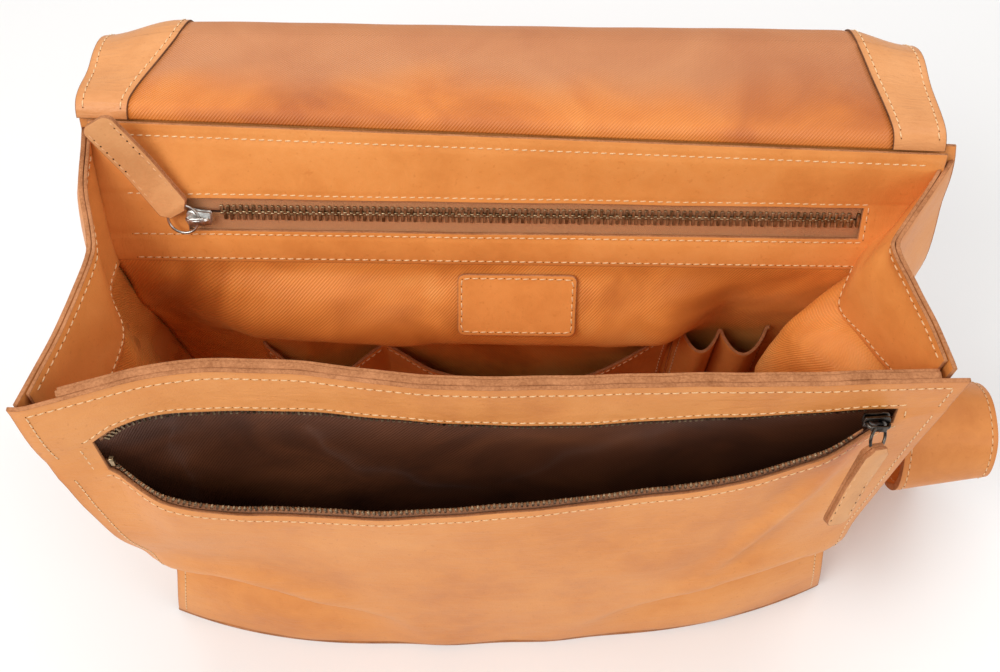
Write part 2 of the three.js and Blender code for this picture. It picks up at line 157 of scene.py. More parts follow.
# ---------------------------------------------------------------- materials
class Nodes:
    """A small builder for one material's node tree."""

    def __init__(self, name):
        self.material = bpy.data.materials.new(name)
        self.material.use_nodes = True
        self.tree = self.material.node_tree
        self.shader = self.tree.nodes["Principled BSDF"]

    def node(self, kind, inputs=None, **settings):
        """A node with these settings, and its inputs each set to a value or linked to a socket."""
        made = self.tree.nodes.new(kind)
        for key, value in settings.items():
            setattr(made, key, value)
        for key, value in (inputs or {}).items():
            self.feed(value, made.inputs[key])
        return made

    def feed(self, value, socket):
        if isinstance(value, bpy.types.NodeSocket):
            self.tree.links.new(value, socket)
        else:
            socket.default_value = value

    def place(self, kind="Object", scale=(1, 1, 1), turn=(0, 0, 0)):
        where = self.node("ShaderNodeTexCoord").outputs[kind]
        inputs = {"Vector": where, "Scale": scale, "Rotation": turn}
        return self.node("ShaderNodeMapping", inputs).outputs[0]

    def noise(self, where, scale, detail=3.0, rough=0.55, warp=0.0):
        inputs = {"Vector": where, "Scale": scale, "Detail": detail, "Roughness": rough, "Distortion": warp}
        return self.node("ShaderNodeTexNoise", inputs).outputs[0]

    def cells(self, where, scale):
        inputs = {"Vector": where, "Scale": scale}
        return self.node("ShaderNodeTexVoronoi", inputs, feature="SMOOTH_F1").outputs[0]

    def bands(self, where, scale, warp=0.0, direction="X"):
        inputs = {"Vector": where, "Scale": scale, "Distortion": warp, "Detail Scale": 3.0}
        return self.node("ShaderNodeTexWave", inputs, bands_direction=direction).outputs["Fac"]

    def ramp(self, source, stops):
        made = self.node("ShaderNodeValToRGB", {0: source})
        line = made.color_ramp.elements
        while len(line) < len(stops):
            line.new(0.5)
        for element, (where, colour) in zip(line, stops):
            element.position = where
            element.color = colour
        return made.outputs[0]

    def mix(self, factor, a, b):
        return self.node("ShaderNodeMix", {0: factor, 6: a, 7: b}, data_type="RGBA").outputs[2]

    def math(self, operation, *values):
        return self.node("ShaderNodeMath", dict(enumerate(values)), operation=operation).outputs[0]

    def blended(self, a, b, share):
        """Two values added, a with this share and b with the rest."""
        return self.math("ADD", self.math("MULTIPLY", a, share), self.math("MULTIPLY", b, 1 - share))

    def span(self, source, low, high):
        """source, from 0 to 1, taken to low to high."""
        return self.node("ShaderNodeMapRange", {0: source, "To Min": low, "To Max": high}).outputs[0]

    def fade(self, source, start, end):
        """1 where source is below start, 0 past end."""
        inputs = {0: source, "From Min": start, "From Max": end, "To Min": 1, "To Max": 0}
        return self.node("ShaderNodeMapRange", inputs, interpolation_type="SMOOTHSTEP").outputs[0]

    def attribute(self, name):
        return self.node("ShaderNodeAttribute", attribute_name=name).outputs["Fac"]

    def bump(self, height, distance, strength=1.0, under=None):
        inputs = {"Height": height, "Distance": distance, "Strength": strength}
        if under is not None:
            inputs["Normal"] = under
        return self.node("ShaderNodeBump", inputs).outputs[0]

    def finish(self, colour=None, rough=None, normal=None, **direct):
        for value, name in ((colour, "Base Color"), (rough, "Roughness"), (normal, "Normal")):
            if value is not None:
                self.feed(value, self.shader.inputs[name])
        for name, value in direct.items():
            self.shader.inputs[name.replace("_", " ")].default_value = value
        return self.material


def leather(name, light, middle, dark, rough=0.46, grain=1.0, crease=(1, 1, 1)):
    """Smooth vegetable-tanned leather: cloudy tone, fine grain, pull-up creases, darker worn edges."""
    n = Nodes(name)
    where = n.place()
    cloud = n.noise(where, 11, 4, 0.6)
    mottle = n.noise(where, 85, 4, 0.65, 0.4)
    tone = n.blended(cloud, mottle, 0.72)
    colour = n.ramp(tone, [(0.28, dark), (0.5, middle), (0.74, light)])
    streak = n.noise(n.place(scale=crease), 46, 3, 0.6, 0.8)
    colour = n.mix(n.span(streak, 0.0, 0.14), colour, light)
    fleck = n.fade(n.noise(where, 420, 2, 0.5), 0.27, 0.36)
    colour = n.mix(n.math("MULTIPLY", fleck, 0.35), colour, dark)
    edge = n.fade(n.attribute("edge"), 0.0, 2.6)
    colour = n.mix(n.math("MULTIPLY", edge, 0.42), colour, dark)
    pores = n.cells(where, 1500)
    skin_grain = n.noise(where, 640, 4, 0.6)
    fine = n.bump(n.math("ADD", n.math("MULTIPLY", pores, 0.5), skin_grain), 0.00020 * grain, 0.55)
    fold = n.bump(streak, 0.0011 * grain, 0.42, fine)
    soft = n.bump(n.noise(where, 24, 2, 0.5), 0.0032, 0.35, fold)
    roughness = n.span(n.blended(mottle, skin_grain, 0.6), rough - 0.12, rough + 0.14)
    return n.finish(colour, roughness, soft, Specular_IOR_Level=0.36)


def raw_edge(name, light, dark):
    """A cut leather edge: fibrous and matt."""
    n = Nodes(name)
    where = n.place()
    fibre = n.noise(where, 900, 4, 0.7)
    patch = n.noise(where, 70, 3, 0.6)
    tone = n.blended(fibre, patch, 0.55)
    colour = n.ramp(tone, [(0.35, dark), (0.62, light)])
    normal = n.bump(fibre, 0.00035, 0.8)
    return n.finish(colour, 0.82, normal, Specular_IOR_Level=0.2)


TWILL_PITCH, HERRINGBONE, TAPE_COLUMN = 1.25, 0.2, 0.625  # mm between ribs or columns
BAND_SCALE = 2 * math.pi / 20 / MM  # over a pitch in mm, the wave node's scale for bands that far apart


def twill(name, light, middle, dark, rough=0.42, sheen=0.35, far=None):
    """Satin twill: diagonal ribs with a shine, and the grooves between them darkened as painted shade. far,
    if given, is the darker, duller colour painted as shade away from the seam, where the lining turns from
    the light.
    """
    n = Nodes(name)
    turn = n.place("UV", turn=(0, 0, math.radians(38)))
    density = BAND_SCALE / TWILL_PITCH
    ribs = n.bands(turn, density, 0.35)
    yarn = n.bands(n.place("UV", turn=(0, 0, math.radians(-52))), density * 1.9, 0.6)
    where = n.place()
    cloud = n.noise(where, 16, 3, 0.6, 0.6)
    colour = n.ramp(cloud, [(0.3, dark), (0.52, middle), (0.74, light)])
    if far is not None:
        # Painted shade: the colour goes to the far colours where the fade attribute is high, away from the
        # hinge.
        colour = n.mix(n.attribute("fade"), colour, n.ramp(cloud, [(0.3, far[1]), (0.7, far[0])]))
    weave = n.blended(ribs, yarn, 0.75)
    # Painted shade: darker towards dark in the grooves between the ribs.
    colour = n.mix(n.span(weave, 0.42, 0.0), colour, dark)
    slub = n.noise(where, 500, 2, 0.5)
    normal = n.bump(n.math("ADD", weave, n.math("MULTIPLY", slub, 0.3)), 0.00028, 0.75)
    roughness = n.span(weave, rough + 0.14, rough - 0.06)
    return n.finish(colour, roughness, normal, Specular_IOR_Level=0.5, Sheen_Weight=sheen,
                    Sheen_Roughness=0.35, Sheen_Tint=light, Anisotropic=0.45)


def tape_cloth(name, light, dark):
    """Herringbone zip tape: ribs that turn over at each rib column, each rib coloured dark to light as
    painted shade and painted light.
    """
    n = Nodes(name)
    zig = n.bands(n.place("UV", turn=(0, 0, math.radians(35))), BAND_SCALE / HERRINGBONE, 0.2)
    zag = n.bands(n.place("UV", turn=(0, 0, math.radians(-35))), BAND_SCALE / HERRINGBONE, 0.2)
    column = n.bands(n.place("UV"), BAND_SCALE / TAPE_COLUMN, 0.0, "Y")
    rib = n.mix(n.math("GREATER_THAN", column, 0.5), zig, zag)
    # Painted shade in the grooves and painted light on the rib tops: the colour follows each rib's height.
    colour = n.ramp(rib, [(0.2, dark), (0.8, light)])
    return n.finish(colour, 0.78, n.bump(rib, 0.0003, 0.8), Sheen_Weight=0.2, Specular_IOR_Level=0.25)


def metal(name, light, dark, rough=0.3, wear=0.12):
    """Cast zip metal: patchy tarnish in its colour, fine scratches, and roughness that varies with both."""
    n = Nodes(name)
    where = n.place()
    tarnish = n.noise(where, 260, 4, 0.65)
    scratch = n.noise(n.place(scale=(1, 9, 1)), 700, 3, 0.6)
    colour = n.ramp(tarnish, [(0.36, dark), (0.62, light)])
    roughness = n.span(n.blended(tarnish, scratch, 0.5), rough - wear, rough + wear)
    return n.finish(colour, roughness, n.bump(scratch, 0.00006, 0.5), Metallic=1.0)


def thread(name, light, dark):
    n = Nodes(name)
    strand = n.noise(n.place(), 2600, 2, 0.5)
    colour = n.ramp(strand, [(0.3, dark), (0.65, light)])
    return n.finish(colour, 0.6, n.bump(strand, 0.00012, 0.7), Sheen_Weight=0.25)


def hole_shade(name, colour):
    # Painted shade of a needle hole: the given dark brown, mixed part way to near black.
    n = Nodes(name)
    shade = n.mix(n.span(n.noise(n.place(), 900), 0.2, 0.8), colour, (0.01, 0.006, 0.004, 1))
    return n.finish(shade, 0.9, None, Specular_IOR_Level=0.1)


TAN_LIGHT, TAN, TAN_DARK = srgb(226, 154, 87), srgb(214, 137, 68), srgb(193, 114, 50)
LEATHER = leather("leather", TAN_LIGHT, TAN, TAN_DARK, crease=(1, 1, 3))
FACING = leather("facing_leather", srgb(236, 162, 92), srgb(224, 145, 74), srgb(202, 122, 56),
                 rough=0.4, grain=0.8, crease=(3, 1, 1))
BORDER = leather("border_leather", srgb(226, 164, 110), srgb(213, 146, 90), srgb(192, 123, 69),
                 rough=0.44, grain=1.25, crease=(1, 6, 6))
PULL_LEATHER = leather("pull_leather", srgb(232, 175, 122), srgb(217, 156, 101), srgb(190, 126, 74),
                       rough=0.55, grain=1.3)
EDGE = raw_edge("raw_edge", srgb(188, 128, 86), srgb(140, 86, 50))
BURNISHED = raw_edge("burnished_edge", srgb(128, 84, 56), srgb(84, 52, 34))
SUEDE = raw_edge("flesh_side", srgb(176, 120, 78), srgb(140, 90, 54))
LINING = twill("lining", srgb(250, 178, 100), srgb(236, 150, 70), srgb(190, 107, 42))
# The flap's lining: its far colours are painted shade past the hinge, where the lining turns from the light.
FLAP_LINING = twill("flap_lining", srgb(232, 146, 66), srgb(214, 124, 48), srgb(178, 94, 34),
                    far=(srgb(199, 135, 90), srgb(181, 114, 72)))
POCKET = twill("pocket_lining", srgb(122, 70, 40), srgb(92, 50, 28), srgb(56, 28, 16), rough=0.6, sheen=0.15)
TAPE = tape_cloth("zip_tape", srgb(240, 166, 106), srgb(200, 128, 78))
BRASS = metal("brass", srgb(184, 162, 128), srgb(116, 96, 68), 0.38)
STEEL = metal("steel", srgb(212, 210, 206), srgb(150, 147, 142), 0.34)
ANTIQUE = metal("antique_brass", srgb(156, 134, 106), srgb(56, 44, 34), 0.34)
GUNMETAL = metal("gunmetal", srgb(96, 90, 84), srgb(38, 34, 32), 0.3)
THREAD = thread("thread", srgb(240, 206, 158), srgb(204, 158, 108))
PULL_THREAD = thread("pull_thread", srgb(232, 180, 130), srgb(204, 148, 98))
# The needle holes' dark colour is painted shade.
HOLE_SHADE = hole_shade("needle_hole_shade", srgb(84, 48, 26))


# ---------------------------------------------------------------- mesh builders
def mesh_from(bm, name, turn_out=False):
    """The finished mesh; turn_out first makes its faces all point outward."""
    if turn_out:
        bmesh.ops.recalc_face_normals(bm, faces=bm.faces)
    mesh = bpy.data.meshes.new(name)
    bm.to_mesh(mesh)
    bm.free()
    return mesh


def add_walls(bm, low, high, index=0, soft=False, shift=0):
    """Faces between two rings of vertices, the second one's start shifted by a few places."""
    count = len(low)
    for k in range(count):
        face = bm.faces.new((low[k], low[(k + 1) % count],
                             high[(k + 1 + shift) % count], high[(k + shift) % count]))
        face.material_index = index
        face.smooth = soft


def round_edges(bm, edges, by, **more):
    return bmesh.ops.bevel(bm, geom=edges, offset=by, segments=2, profile=0.5, affect="EDGES", **more)


def round_rims(bm, rim, by, **more):
    """Rounds the edges where faces of the material rim meet the others."""
    rims = [e for e in bm.edges if len(e.link_faces) == 2
            and (e.link_faces[0].material_index == rim) != (e.link_faces[1].material_index == rim)]
    round_edges(bm, rims, by, material=rim, **more)


def settle(name, mesh, materials, body, slot, replaced=()):
    """Makes the object, gives it its materials, and fixes it to its body."""
    for material in materials:
        mesh.materials.append(material)
    made = bpy.data.objects.new(name, mesh)
    scene.collection.objects.link(made)
    if body is not None:
        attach(made, body)
    if replaced:
        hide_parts(*replaced)
    return made


def grid_uv(grid):
    """For each grid point, its distance in metres along both directions."""
    wide, tall = len(grid), len(grid[0])
    along = [[0.0] * tall for _ in range(wide)]
    up = [[0.0] * tall for _ in range(wide)]
    for i in range(wide):
        for j in range(tall):
            if i:
                along[i][j] = along[i - 1][j] + (grid[i][j] - grid[i - 1][j]).length
            if j:
                up[i][j] = up[i][j - 1] + (grid[i][j] - grid[i][j - 1]).length
    return along, up


def grid_normal(grid, i, j):
    wide, tall = len(grid), len(grid[0])
    u = grid[min(i + 1, wide - 1)][j] - grid[max(i - 1, 0)][j]
    v = grid[i][min(j + 1, tall - 1)] - grid[i][max(j - 1, 0)]
    return u.cross(v).normalized()


def skin_mesh(name, us, vs, at, thick, keep=None, bevel=0.35, marks=None, rim=1, inner=0,
              joined=(False, False), uv_from=0.0):
    """A closed skin of even thickness about the surface at(u, v), in mm, with rounded cut edges.

    Faces on the normal's side get material 0, the others material inner, and the cut edges rim.
    marks is {attribute name: function of (u, v)}; joined says whether the low and the high end of v run
    on into another skin, so that they need no cut edge."""
    grid = [[Vector(at(u, v)) * MM for v in vs] for u in us]
    wide, tall = len(us), len(vs)
    along, up = grid_uv(grid)
    filled = [[0 <= i < wide - 1 and 0 <= j < tall - 1 and (keep is None or keep(i, j))
               for j in range(-1, tall)] for i in range(-1, wide)]
    bm = bmesh.new()
    uv_layer = bm.loops.layers.uv.new("UVMap")
    layers = {key: bm.verts.layers.float.new(key) for key in ["edge", *(marks or {})]}
    sides = []
    for side in (0.5, -0.5):
        rows = []
        for i in range(wide):
            row = []
            for j in range(tall):
                vert = bm.verts.new(grid[i][j] + grid_normal(grid, i, j) * side * thick * MM)
                reach = [along[i][j], along[-1][j] - along[i][j]]
                reach += [] if joined[0] else [up[i][j]]
                reach += [] if joined[1] else [up[i][-1] - up[i][j]]
                vert[layers["edge"]] = min(reach) / MM
                for key, mark in (marks or {}).items():
                    vert[layers[key]] = mark(us[i], vs[j])
                row.append(vert)
            rows.append(row)
        sides.append(rows)
    front, back = sides

    def face(corners, places, index):
        made = bm.faces.new(corners)
        made.material_index = index
        made.smooth = True
        for loop, (i, j) in zip(made.loops, places):
            loop[uv_layer].uv = (along[i][j], up[i][j] + uv_from * MM)
        return made

    for i in range(wide - 1):
        for j in range(tall - 1):
            if not filled[i + 1][j + 1]:
                continue
            ring = [(i, j), (i + 1, j), (i + 1, j + 1), (i, j + 1)]
            face([front[a][b] for a, b in ring], ring, 0)
            face([back[a][b] for a, b in reversed(ring)], ring[::-1], inner)
            for (di, dj), p, q in (((0, -1), ring[0], ring[1]), ((1, 0), ring[1], ring[2]),
                                   ((0, 1), ring[2], ring[3]), ((-1, 0), ring[3], ring[0])):
                seam = (dj == -1 and j == 0 and joined[0]) or (dj == 1 and j == tall - 2 and joined[1])
                if not seam and not filled[i + 1 + di][j + 1 + dj]:
                    face([front[q[0]][q[1]], front[p[0]][p[1]], back[p[0]][p[1]], back[q[0]][q[1]]],
                         [q, p, p, q], rim)
                    front[p[0]][p[1]][layers["edge"]] = front[q[0]][q[1]][layers["edge"]] = 0.0
    bmesh.ops.delete(bm, geom=[v for v in bm.verts if not v.link_faces], context="VERTS")
    if bevel:
        round_rims(bm, rim, bevel * MM, clamp_overlap=True)
    mesh = mesh_from(bm, name)
    for polygon in mesh.polygons:
        polygon.use_smooth = True
    return mesh


def skin(name, us, vs, at, thick, materials, body, slot, replaced=(), **more):
    return settle(name, skin_mesh(name, us, vs, at, thick, **more), materials, body, slot, replaced)


def cloth(name, us, vs, at, material, slot, replaced=(), thick=0.5):
    """A soft layer of the bag: one material on both sides, its cut edges square."""
    skin(name, us, vs, at, thick, [material, material], "bag", slot, replaced, bevel=0)


def surface_frame(at, u, v, du=0.4, dv=0.4):
    """Point and unit normal on the surface at(u, v), in mm."""
    here = Vector(at(u, v))
    along = Vector(at(u + du, v)) - Vector(at(u - du, v))
    up = Vector(at(u, v + dv)) - Vector(at(u, v - dv))
    return here, along.cross(up).normalized()


def on_surface(at, places, off, du=0.4, dv=0.4):
    """Points in mm, each with its normal, at places (u, v) of a surface, off mm out along the normal."""
    line = []
    for u, v in places:
        here, normal = surface_frame(at, u, v, du, dv)
        line.append((here + normal * off, normal * (1 if off >= 0 else -1)))
    return line


def resample(line, pitch):
    """The line at even steps: a list of (point, direction, normal)."""
    lengths = [0.0]
    for start, end in zip(line, line[1:]):
        lengths.append(lengths[-1] + (end[0] - start[0]).length)
    count = max(int(lengths[-1] / pitch), 1)
    made, k = [], 0
    for n in range(count):
        want = (n + 0.5) * lengths[-1] / count
        while lengths[k + 1] < want:
            k += 1
        t = (want - lengths[k]) / max(lengths[k + 1] - lengths[k], 1e-9)
        (a, na), (b, nb) = line[k], line[k + 1]
        made.append((a.lerp(b, t), (b - a).normalized(), na.lerp(nb, t).normalized()))
    return made


STITCH_PITCH = 3.9
STITCH_LONG = 2.8
STITCH_RADIUS = 0.34
# Where along a stitch each of its rings is, the ring's size and its height, as shares of length and radius.
STITCH_RINGS = ((-0.5, 0.25, -0.35), (-0.38, 0.85, 0.1), (0.0, 1.0, 0.3), (0.38, 0.85, 0.1),
                (0.5, 0.25, -0.35))
STITCH_SLANT = 0.1
SIXTHS = [k * math.pi / 3 for k in range(6)]  # angles round a stitch and its hole


def add_stitches(bm, line, pitch=STITCH_PITCH, long=STITCH_LONG, radius=STITCH_RADIUS, hole_radius=0.28):
    """Saddle stitches with a needle hole between each pair, along one line."""
    for point, way, normal in resample(line, pitch):
        side = normal.cross(way).normalized()
        way = (way + side * STITCH_SLANT).normalized()
        side = normal.cross(way).normalized()
        rings = []
        for along, size, lift in STITCH_RINGS:
            middle = point + way * along * long + normal * lift * radius
            spokes = [side * math.cos(a) + normal * math.sin(a) for a in SIXTHS]
            rings.append([bm.verts.new((middle + spoke * radius * size) * MM) for spoke in spokes])
        for low, high in zip(rings, rings[1:]):
            add_walls(bm, low, high, soft=True)
        bm.faces.new(rings[0][::-1])
        bm.faces.new(rings[-1])
        # Each hole is a dark disc just above the surface over a shallow cone: the disc is painted shade of
        # the hole.
        hole = point - way * 0.5 * pitch + normal * 0.03
        rim = [bm.verts.new((hole + (side * math.cos(a) + way * math.sin(a)) * hole_radius) * MM)
               for a in SIXTHS]
        base = bm.verts.new((hole - normal * 0.5) * MM)
        facing_in = (rim[1].co - rim[0].co).cross(rim[2].co - rim[1].co).dot(normal) < 0
        disc = bm.faces.new(rim[::-1] if facing_in else rim)
        disc.material_index = 1
        for k in range(6):
            wall = bm.faces.new((rim[(k + 1) % 6], rim[k], base))
            wall.material_index = 1


def seams(name, lines, body, slot="facing_leather", yarn=THREAD, **more):
    """One piece that holds every stitch of some seams."""
    bm = bmesh.new()
    for line in lines:
        add_stitches(bm, line, **more)
    return settle(name, mesh_from(bm, name, True), [yarn, HOLE_SHADE], body, slot)


def tube_mesh(name, path, radius, closed=False, sides=10):
    """A round wire through points in mm."""
    bm = bmesh.new()
    count = len(path)
    rings = []
    side = None
    for k, point in enumerate(path):
        ahead = path[(k + 1) % count] if closed or k + 1 < count else path[k]
        behind = path[k - 1] if closed or k else path[k]
        way = (ahead - behind).normalized()
        if side is None:
            side = way.orthogonal().normalized()
        side = (side - way * side.dot(way)).normalized()
        other = way.cross(side)
        rings.append([bm.verts.new((point + (side * math.cos(a) + other * math.sin(a)) * radius) * MM)
                      for a in (2 * math.pi * n / sides for n in range(sides))])
    pairs = list(zip(rings, rings[1:])) + ([(rings[-1], rings[0])] if closed else [])
    for low, high in pairs:
        shift = 0
        if low is rings[-1]:
            shift = min(range(sides), key=lambda n: (high[n].co - low[0].co).length)
        add_walls(bm, low, high, soft=True, shift=shift)
    if not closed:
        bm.faces.new(rings[0][::-1])
        bm.faces.new(rings[-1])
    return mesh_from(bm, name, True)


def add_block(bm, turn, size, bevel):
    """A box with rounded edges, size in mm, placed by the matrix turn (mm)."""
    made = bmesh.ops.create_cube(bm, size=1.0)
    for vert in made["verts"]:
        vert.co = Vector(c * s for c, s in zip(vert.co, size))
    faces = {f for v in made["verts"] for f in v.link_faces}
    edges = {e for f in faces for e in f.edges}
    faces |= set(round_edges(bm, list(edges), bevel, clamp_overlap=True)["faces"])
    verts = set()
    for f in faces:
        if f.is_valid:
            f.smooth = True
            verts.update(f.verts)
    for vert in verts:
        vert.co = (turn @ vert.co) * MM


# ---------------------------------------------------------------- the bag's surfaces, in mm
BACK_TOP = 284
GUSSET_TOP_BACK, GUSSET_TOP_FRONT = 281, 271
BASE_THICK = 2.4
FACING_BOTTOM = 223
HINGE_SEAM = 281.5
SIDE_LAYER = 2.0
INNER_INSET = 10
WINDOW_LEFT, WINDOW_RIGHT, WINDOW_LOW, WINDOW_HIGH = -147, 163, 240.1, 254.7
LIP_LEFT, LIP_RIGHT = -170, 166
MOUTH_PUSH = 29

back_y = spline([(0, 51), (70, 50), (140, 43), (200, 31), (226, 30), (250, 39.5), (284, 56), (292, 59.9)])
half_width = spline([(0, 187), (70, 177), (150, 181), (230, 188), (284, 192)])
front_top_y = spline([(-192, -78), (-165, -69), (-130, -61), (-90, -60.5), (-50, -64), (-10, -66),
                      (60, -63), (130, -60), (192, -57)])
front_base_y = spline([(-187, -61), (187, -41)])
front_top_z = spline([(-192, 274), (0, 270.5), (192, 267)])
front_flare = spline([(0, 0), (100, 0), (143, 2), (185, 4.5), (215, 5), (243, 6.5), (274, 6)])
# A gusset's outer leather: how far its folded middle stands in, and where along it the fold is.
fold_depth = {-1: spline([(0, 0), (80, 6), (200, 8), (225, 10), (276, 13)]),
              1: spline([(0, 0), (80, 5), (180, 9), (225, 13), (250, 18), (277, 25)])}
FOLD_PLACE = {-1: 0.44, 1: 0.4}
# How far a gusset bulges out behind its fold, and how far its rear seam stands out on the right.
rear_bulge = {-1: spline([(0, 0), (150, 5), (235, 6), (270, 5), (282, 1)]), 1: spline([(0, 0), (282, 0)])}
rear_flare = {-1: spline([(0, 0), (290, 0)]), 1: spline([(0, 0), (120, 3), (200, 11), (260, 10), (290, 5)])}
# Its inner side: how far from the middle plane it meets the back wall, its fold, and the fold's place.
inner_rear = {-1: spline([(0, 176), (200, 183), (225, 185), (260, 187), (287, 190)]),
              1: spline([(0, 178), (150, 166), (197, 163), (220, 165), (237, 171), (246, 182), (265, 190),
                         (287, 195)])}
inner_fold = {-1: spline([(0, 176), (80, 172), (200, 174), (225, 174.5), (250, 177), (277, 181)]),
              1: spline([(0, 176), (150, 156), (224, 156), (250, 158), (264, 164), (279, 172)])}
inner_place = {-1: spline([(0, 0.5), (200, 0.36), (225, 0.39), (277, 0.44)]),
               1: spline([(0, 0.5), (177, 0.38), (200, 0.28), (224, 0.26), (250, 0.34), (279, 0.4)])}
INNER_ROUND = {-1: 0.006, 1: 0.02}
# How far the right side's lining stands in below its facing.
billow = spline([(0, 0), (60, 12), (120, 27), (165, 40), (195, 36), (212, 25), (220, 11), (226, 2),
                 (232, 0)])
# How wide the front mouth gapes, as a share, and the height of its two lips.
lens = spline([(-176, 0.08), (-170, 0.14), (-163, 0.33), (-156, 0.55), (-148, 0.75), (-130, 0.95),
               (-100, 1), (-50, 1), (46, 0.8), (136, 0.5), (166, 0.1), (192, 0)])
lip_z = spline([(-192, 228), (-171, 236.5), (-163, 242.5), (-154, 244.5), (-145, 243.5), (-126, 240),
                (-87, 238.5), (-44, 238.5), (0, 236), (60, 236), (166, 243), (192, 244)])
lower_lip = spline([(-192, 218), (-170, 216.5), (-164, 210), (-153, 204.5), (-138, 198.5), (-115, 193),
                    (-82, 194.5), (-1, 200), (87, 205), (130, 218), (163, 234), (176, 240), (192, 242)])
left_push = spline([(0, 0), (72, -6), (112, 2), (150, 10), (185, 9), (215, 6), (245, 5), (271, 2)])
belly = spline([(0, 0.93), (40, 0.98), (110, 1), (215, 1)])
tuck_depth = spline([(0, 0), (40, 0), (90, 10), (140, 18), (170, 12), (187, 0)])
tuck_z = spline([(20, 0), (45, 25), (90, 59), (140, 80), (180, 76)])


def wall_y(x, z):
    """The front wall before its belly, its left edge drawn forward below the mouth."""
    return lerp(front_base_y(x), front_top_y(x), z / GUSSET_TOP_FRONT) - left_push(z) * smooth(118, 187, -x)


def hinge_skew(x):
    """The back wall's top edge stands further forward at the right end."""
    return lerp(2, -11, (x + 190) / 380)


def back_wall_y(x, z):
    return back_y(z) + hinge_skew(x) * smooth(250, 286, z)


def outward(x):
    """The share of the belly's full depth that the lower front has at x."""
    return 1 - min(abs(x) / 187, 1) ** 3


def corner_tuck(x, z):
    """Each lower corner is drawn in along a slanting line, so the pocket's belly hangs over it."""
    rise = z - tuck_z(abs(x))
    dent = hump(rise, 0, 11 if rise > 0 else 30) * tuck_depth(abs(x))
    return dent - 5 * hump(rise, 24, 14) * smooth(50, 110, abs(x)) * smooth(187, 165, abs(x))


def side_crease(x, z):
    """A soft ridge where the belly folds beside the front pull."""
    off = x - 108 - 0.42 * (z - 115)
    reach = smooth(100, 128, z) * smooth(216, 188, z)
    return (2.8 * hump(off, 0, 5) - 2.2 * hump(off, 13, 8) - 1.0 * hump(off, -14, 9)) * reach


def front_push(x, z):
    """How far the front stands forward of its plane."""
    lip = MOUTH_PUSH * lens(x)
    low = MOUTH_PUSH * outward(x)
    full = lerp(lip, low, smooth(0, 90, lower_lip(x) - z)) * belly(z)
    return full - corner_tuck(x, z) * smooth(0, 40, lower_lip(x) - z) + side_crease(x, z)


def inward(x, z):
    """How far the front wall stands in behind its plane, at the tucked corners."""
    return max(-front_push(x, z), 0)


FRONT_HALF = 188
SIDES = (("left", -1), ("right", 1))
LEATHER_THICK, FACING_THICK, BORDER_THICK = 2.0, 1.6, 1.5
ON_LEATHER, ON_FACING = 1.03, 0.83  # where stitches lie, from the middle of the leather or the facing


def front_half_width(side, z):
    """Half the front panel's width; its left edge flares out below the top."""
    return half_width(z) - 0.2 + (front_flare(z) if side < 0 else 0)


def front_waves(u, x, z):
    return 0.7 * ripple(x, z, 0.4) * smooth(1, 0.86, abs(u))


def front_point(u, row):
    """The front panel's middle; row is 2 at the top, 1 and 0 at the mouth's lips, and -1 at the base."""
    across = u * FRONT_HALF
    if row > 0:
        z = lerp(lip_z(across), front_top_z(across), row - 1)
    else:
        z = lerp(lower_lip(across), BASE_THICK + 0.7, -row)
    x = u * lerp(half_width(z) - 0.2, front_half_width(u, z), smooth(0.8, 1, abs(u)))
    push = front_push(x, z) if row <= 0 else 0
    return x, wall_y(x, z) - push + front_waves(u, x, z), z


def fold_shape(s, place=0.5, round_off=0.0035):
    """0 at both seams of a gusset, 1 at its fold, which is tight unless round_off is larger."""
    away = (s - place) / (place if s < place else 1 - place)
    return max(1 - math.sqrt(away ** 2 + round_off), 0) ** 1.1


def gusset_top(s):
    return lerp(GUSSET_TOP_BACK, GUSSET_TOP_FRONT, min(1.6 * s, 1))


def gusset_flare(side, s, z):
    """How far a gusset stands out from the straight line between its seams."""
    front = front_half_width(side, z) - half_width(z) if side < 0 else -6 * smooth(190, 262, z)
    behind = rear_bulge[side](z) * hump(s, 0.21, 0.14)
    return front * s ** 3 + behind + rear_flare[side](z) * (1 - s) ** 3


def softer_min(a, b, blend=1.5):
    """The smaller of two values, its corner rounded."""
    return 0.5 * (a + b - math.hypot(a - b, blend))


def gusset_point(side, s, z):
    """The outer leather's middle."""
    back = back_wall_y(side * half_width(z), z) + 4.1
    front = wall_y(side * half_width(z), z) + 2.7
    puff = 0.8 * ripple(s * 140, z, 1.0 + side) * math.sin(math.pi * s)
    depth = fold_depth[side](z) * fold_shape(s, FOLD_PLACE[side])
    return side * (half_width(z) - 1.5 - depth + puff + gusset_flare(side, s, z)), lerp(back, front, s), z


def gusset_inside(side, s, z, off=0.0):
    """The inner side, which leans on the back wall further in than the outer leather does."""
    x, y, _ = gusset_point(side, s, z)
    place = inner_place[side](z)

    def base(at):
        bow = at if side > 0 else 1 - (1 - at) ** 2
        return lerp(inner_rear[side](z), half_width(z) - 3.5, bow)
    reach = base(s) - (base(place) - inner_fold[side](z)) * fold_shape(s, place, INNER_ROUND[side])
    reach += gusset_flare(side, s, z) - rear_flare[side](z) * (1 - s) ** 3
    return side * (softer_min(reach, side * x - SIDE_LAYER) - off), y, z


# ---------------------------------------------------------------- outer leather
def fine_front_columns():
    inside = steps(LIP_LEFT / FRONT_HALF, LIP_RIGHT / FRONT_HALF, 110)
    return [-1, -0.992, -0.98, -0.965, -0.95, *inside, 0.9, 0.93, 0.955, 0.975, 0.99, 1]


LOW_ROWS = [-(k / 46) for k in range(47)]
TOP_ROWS = [2, 1.96, 1.9, 1.8, 1.65, 1.5, 1.35, 1.2, 1.12, 1.06, 1.0]


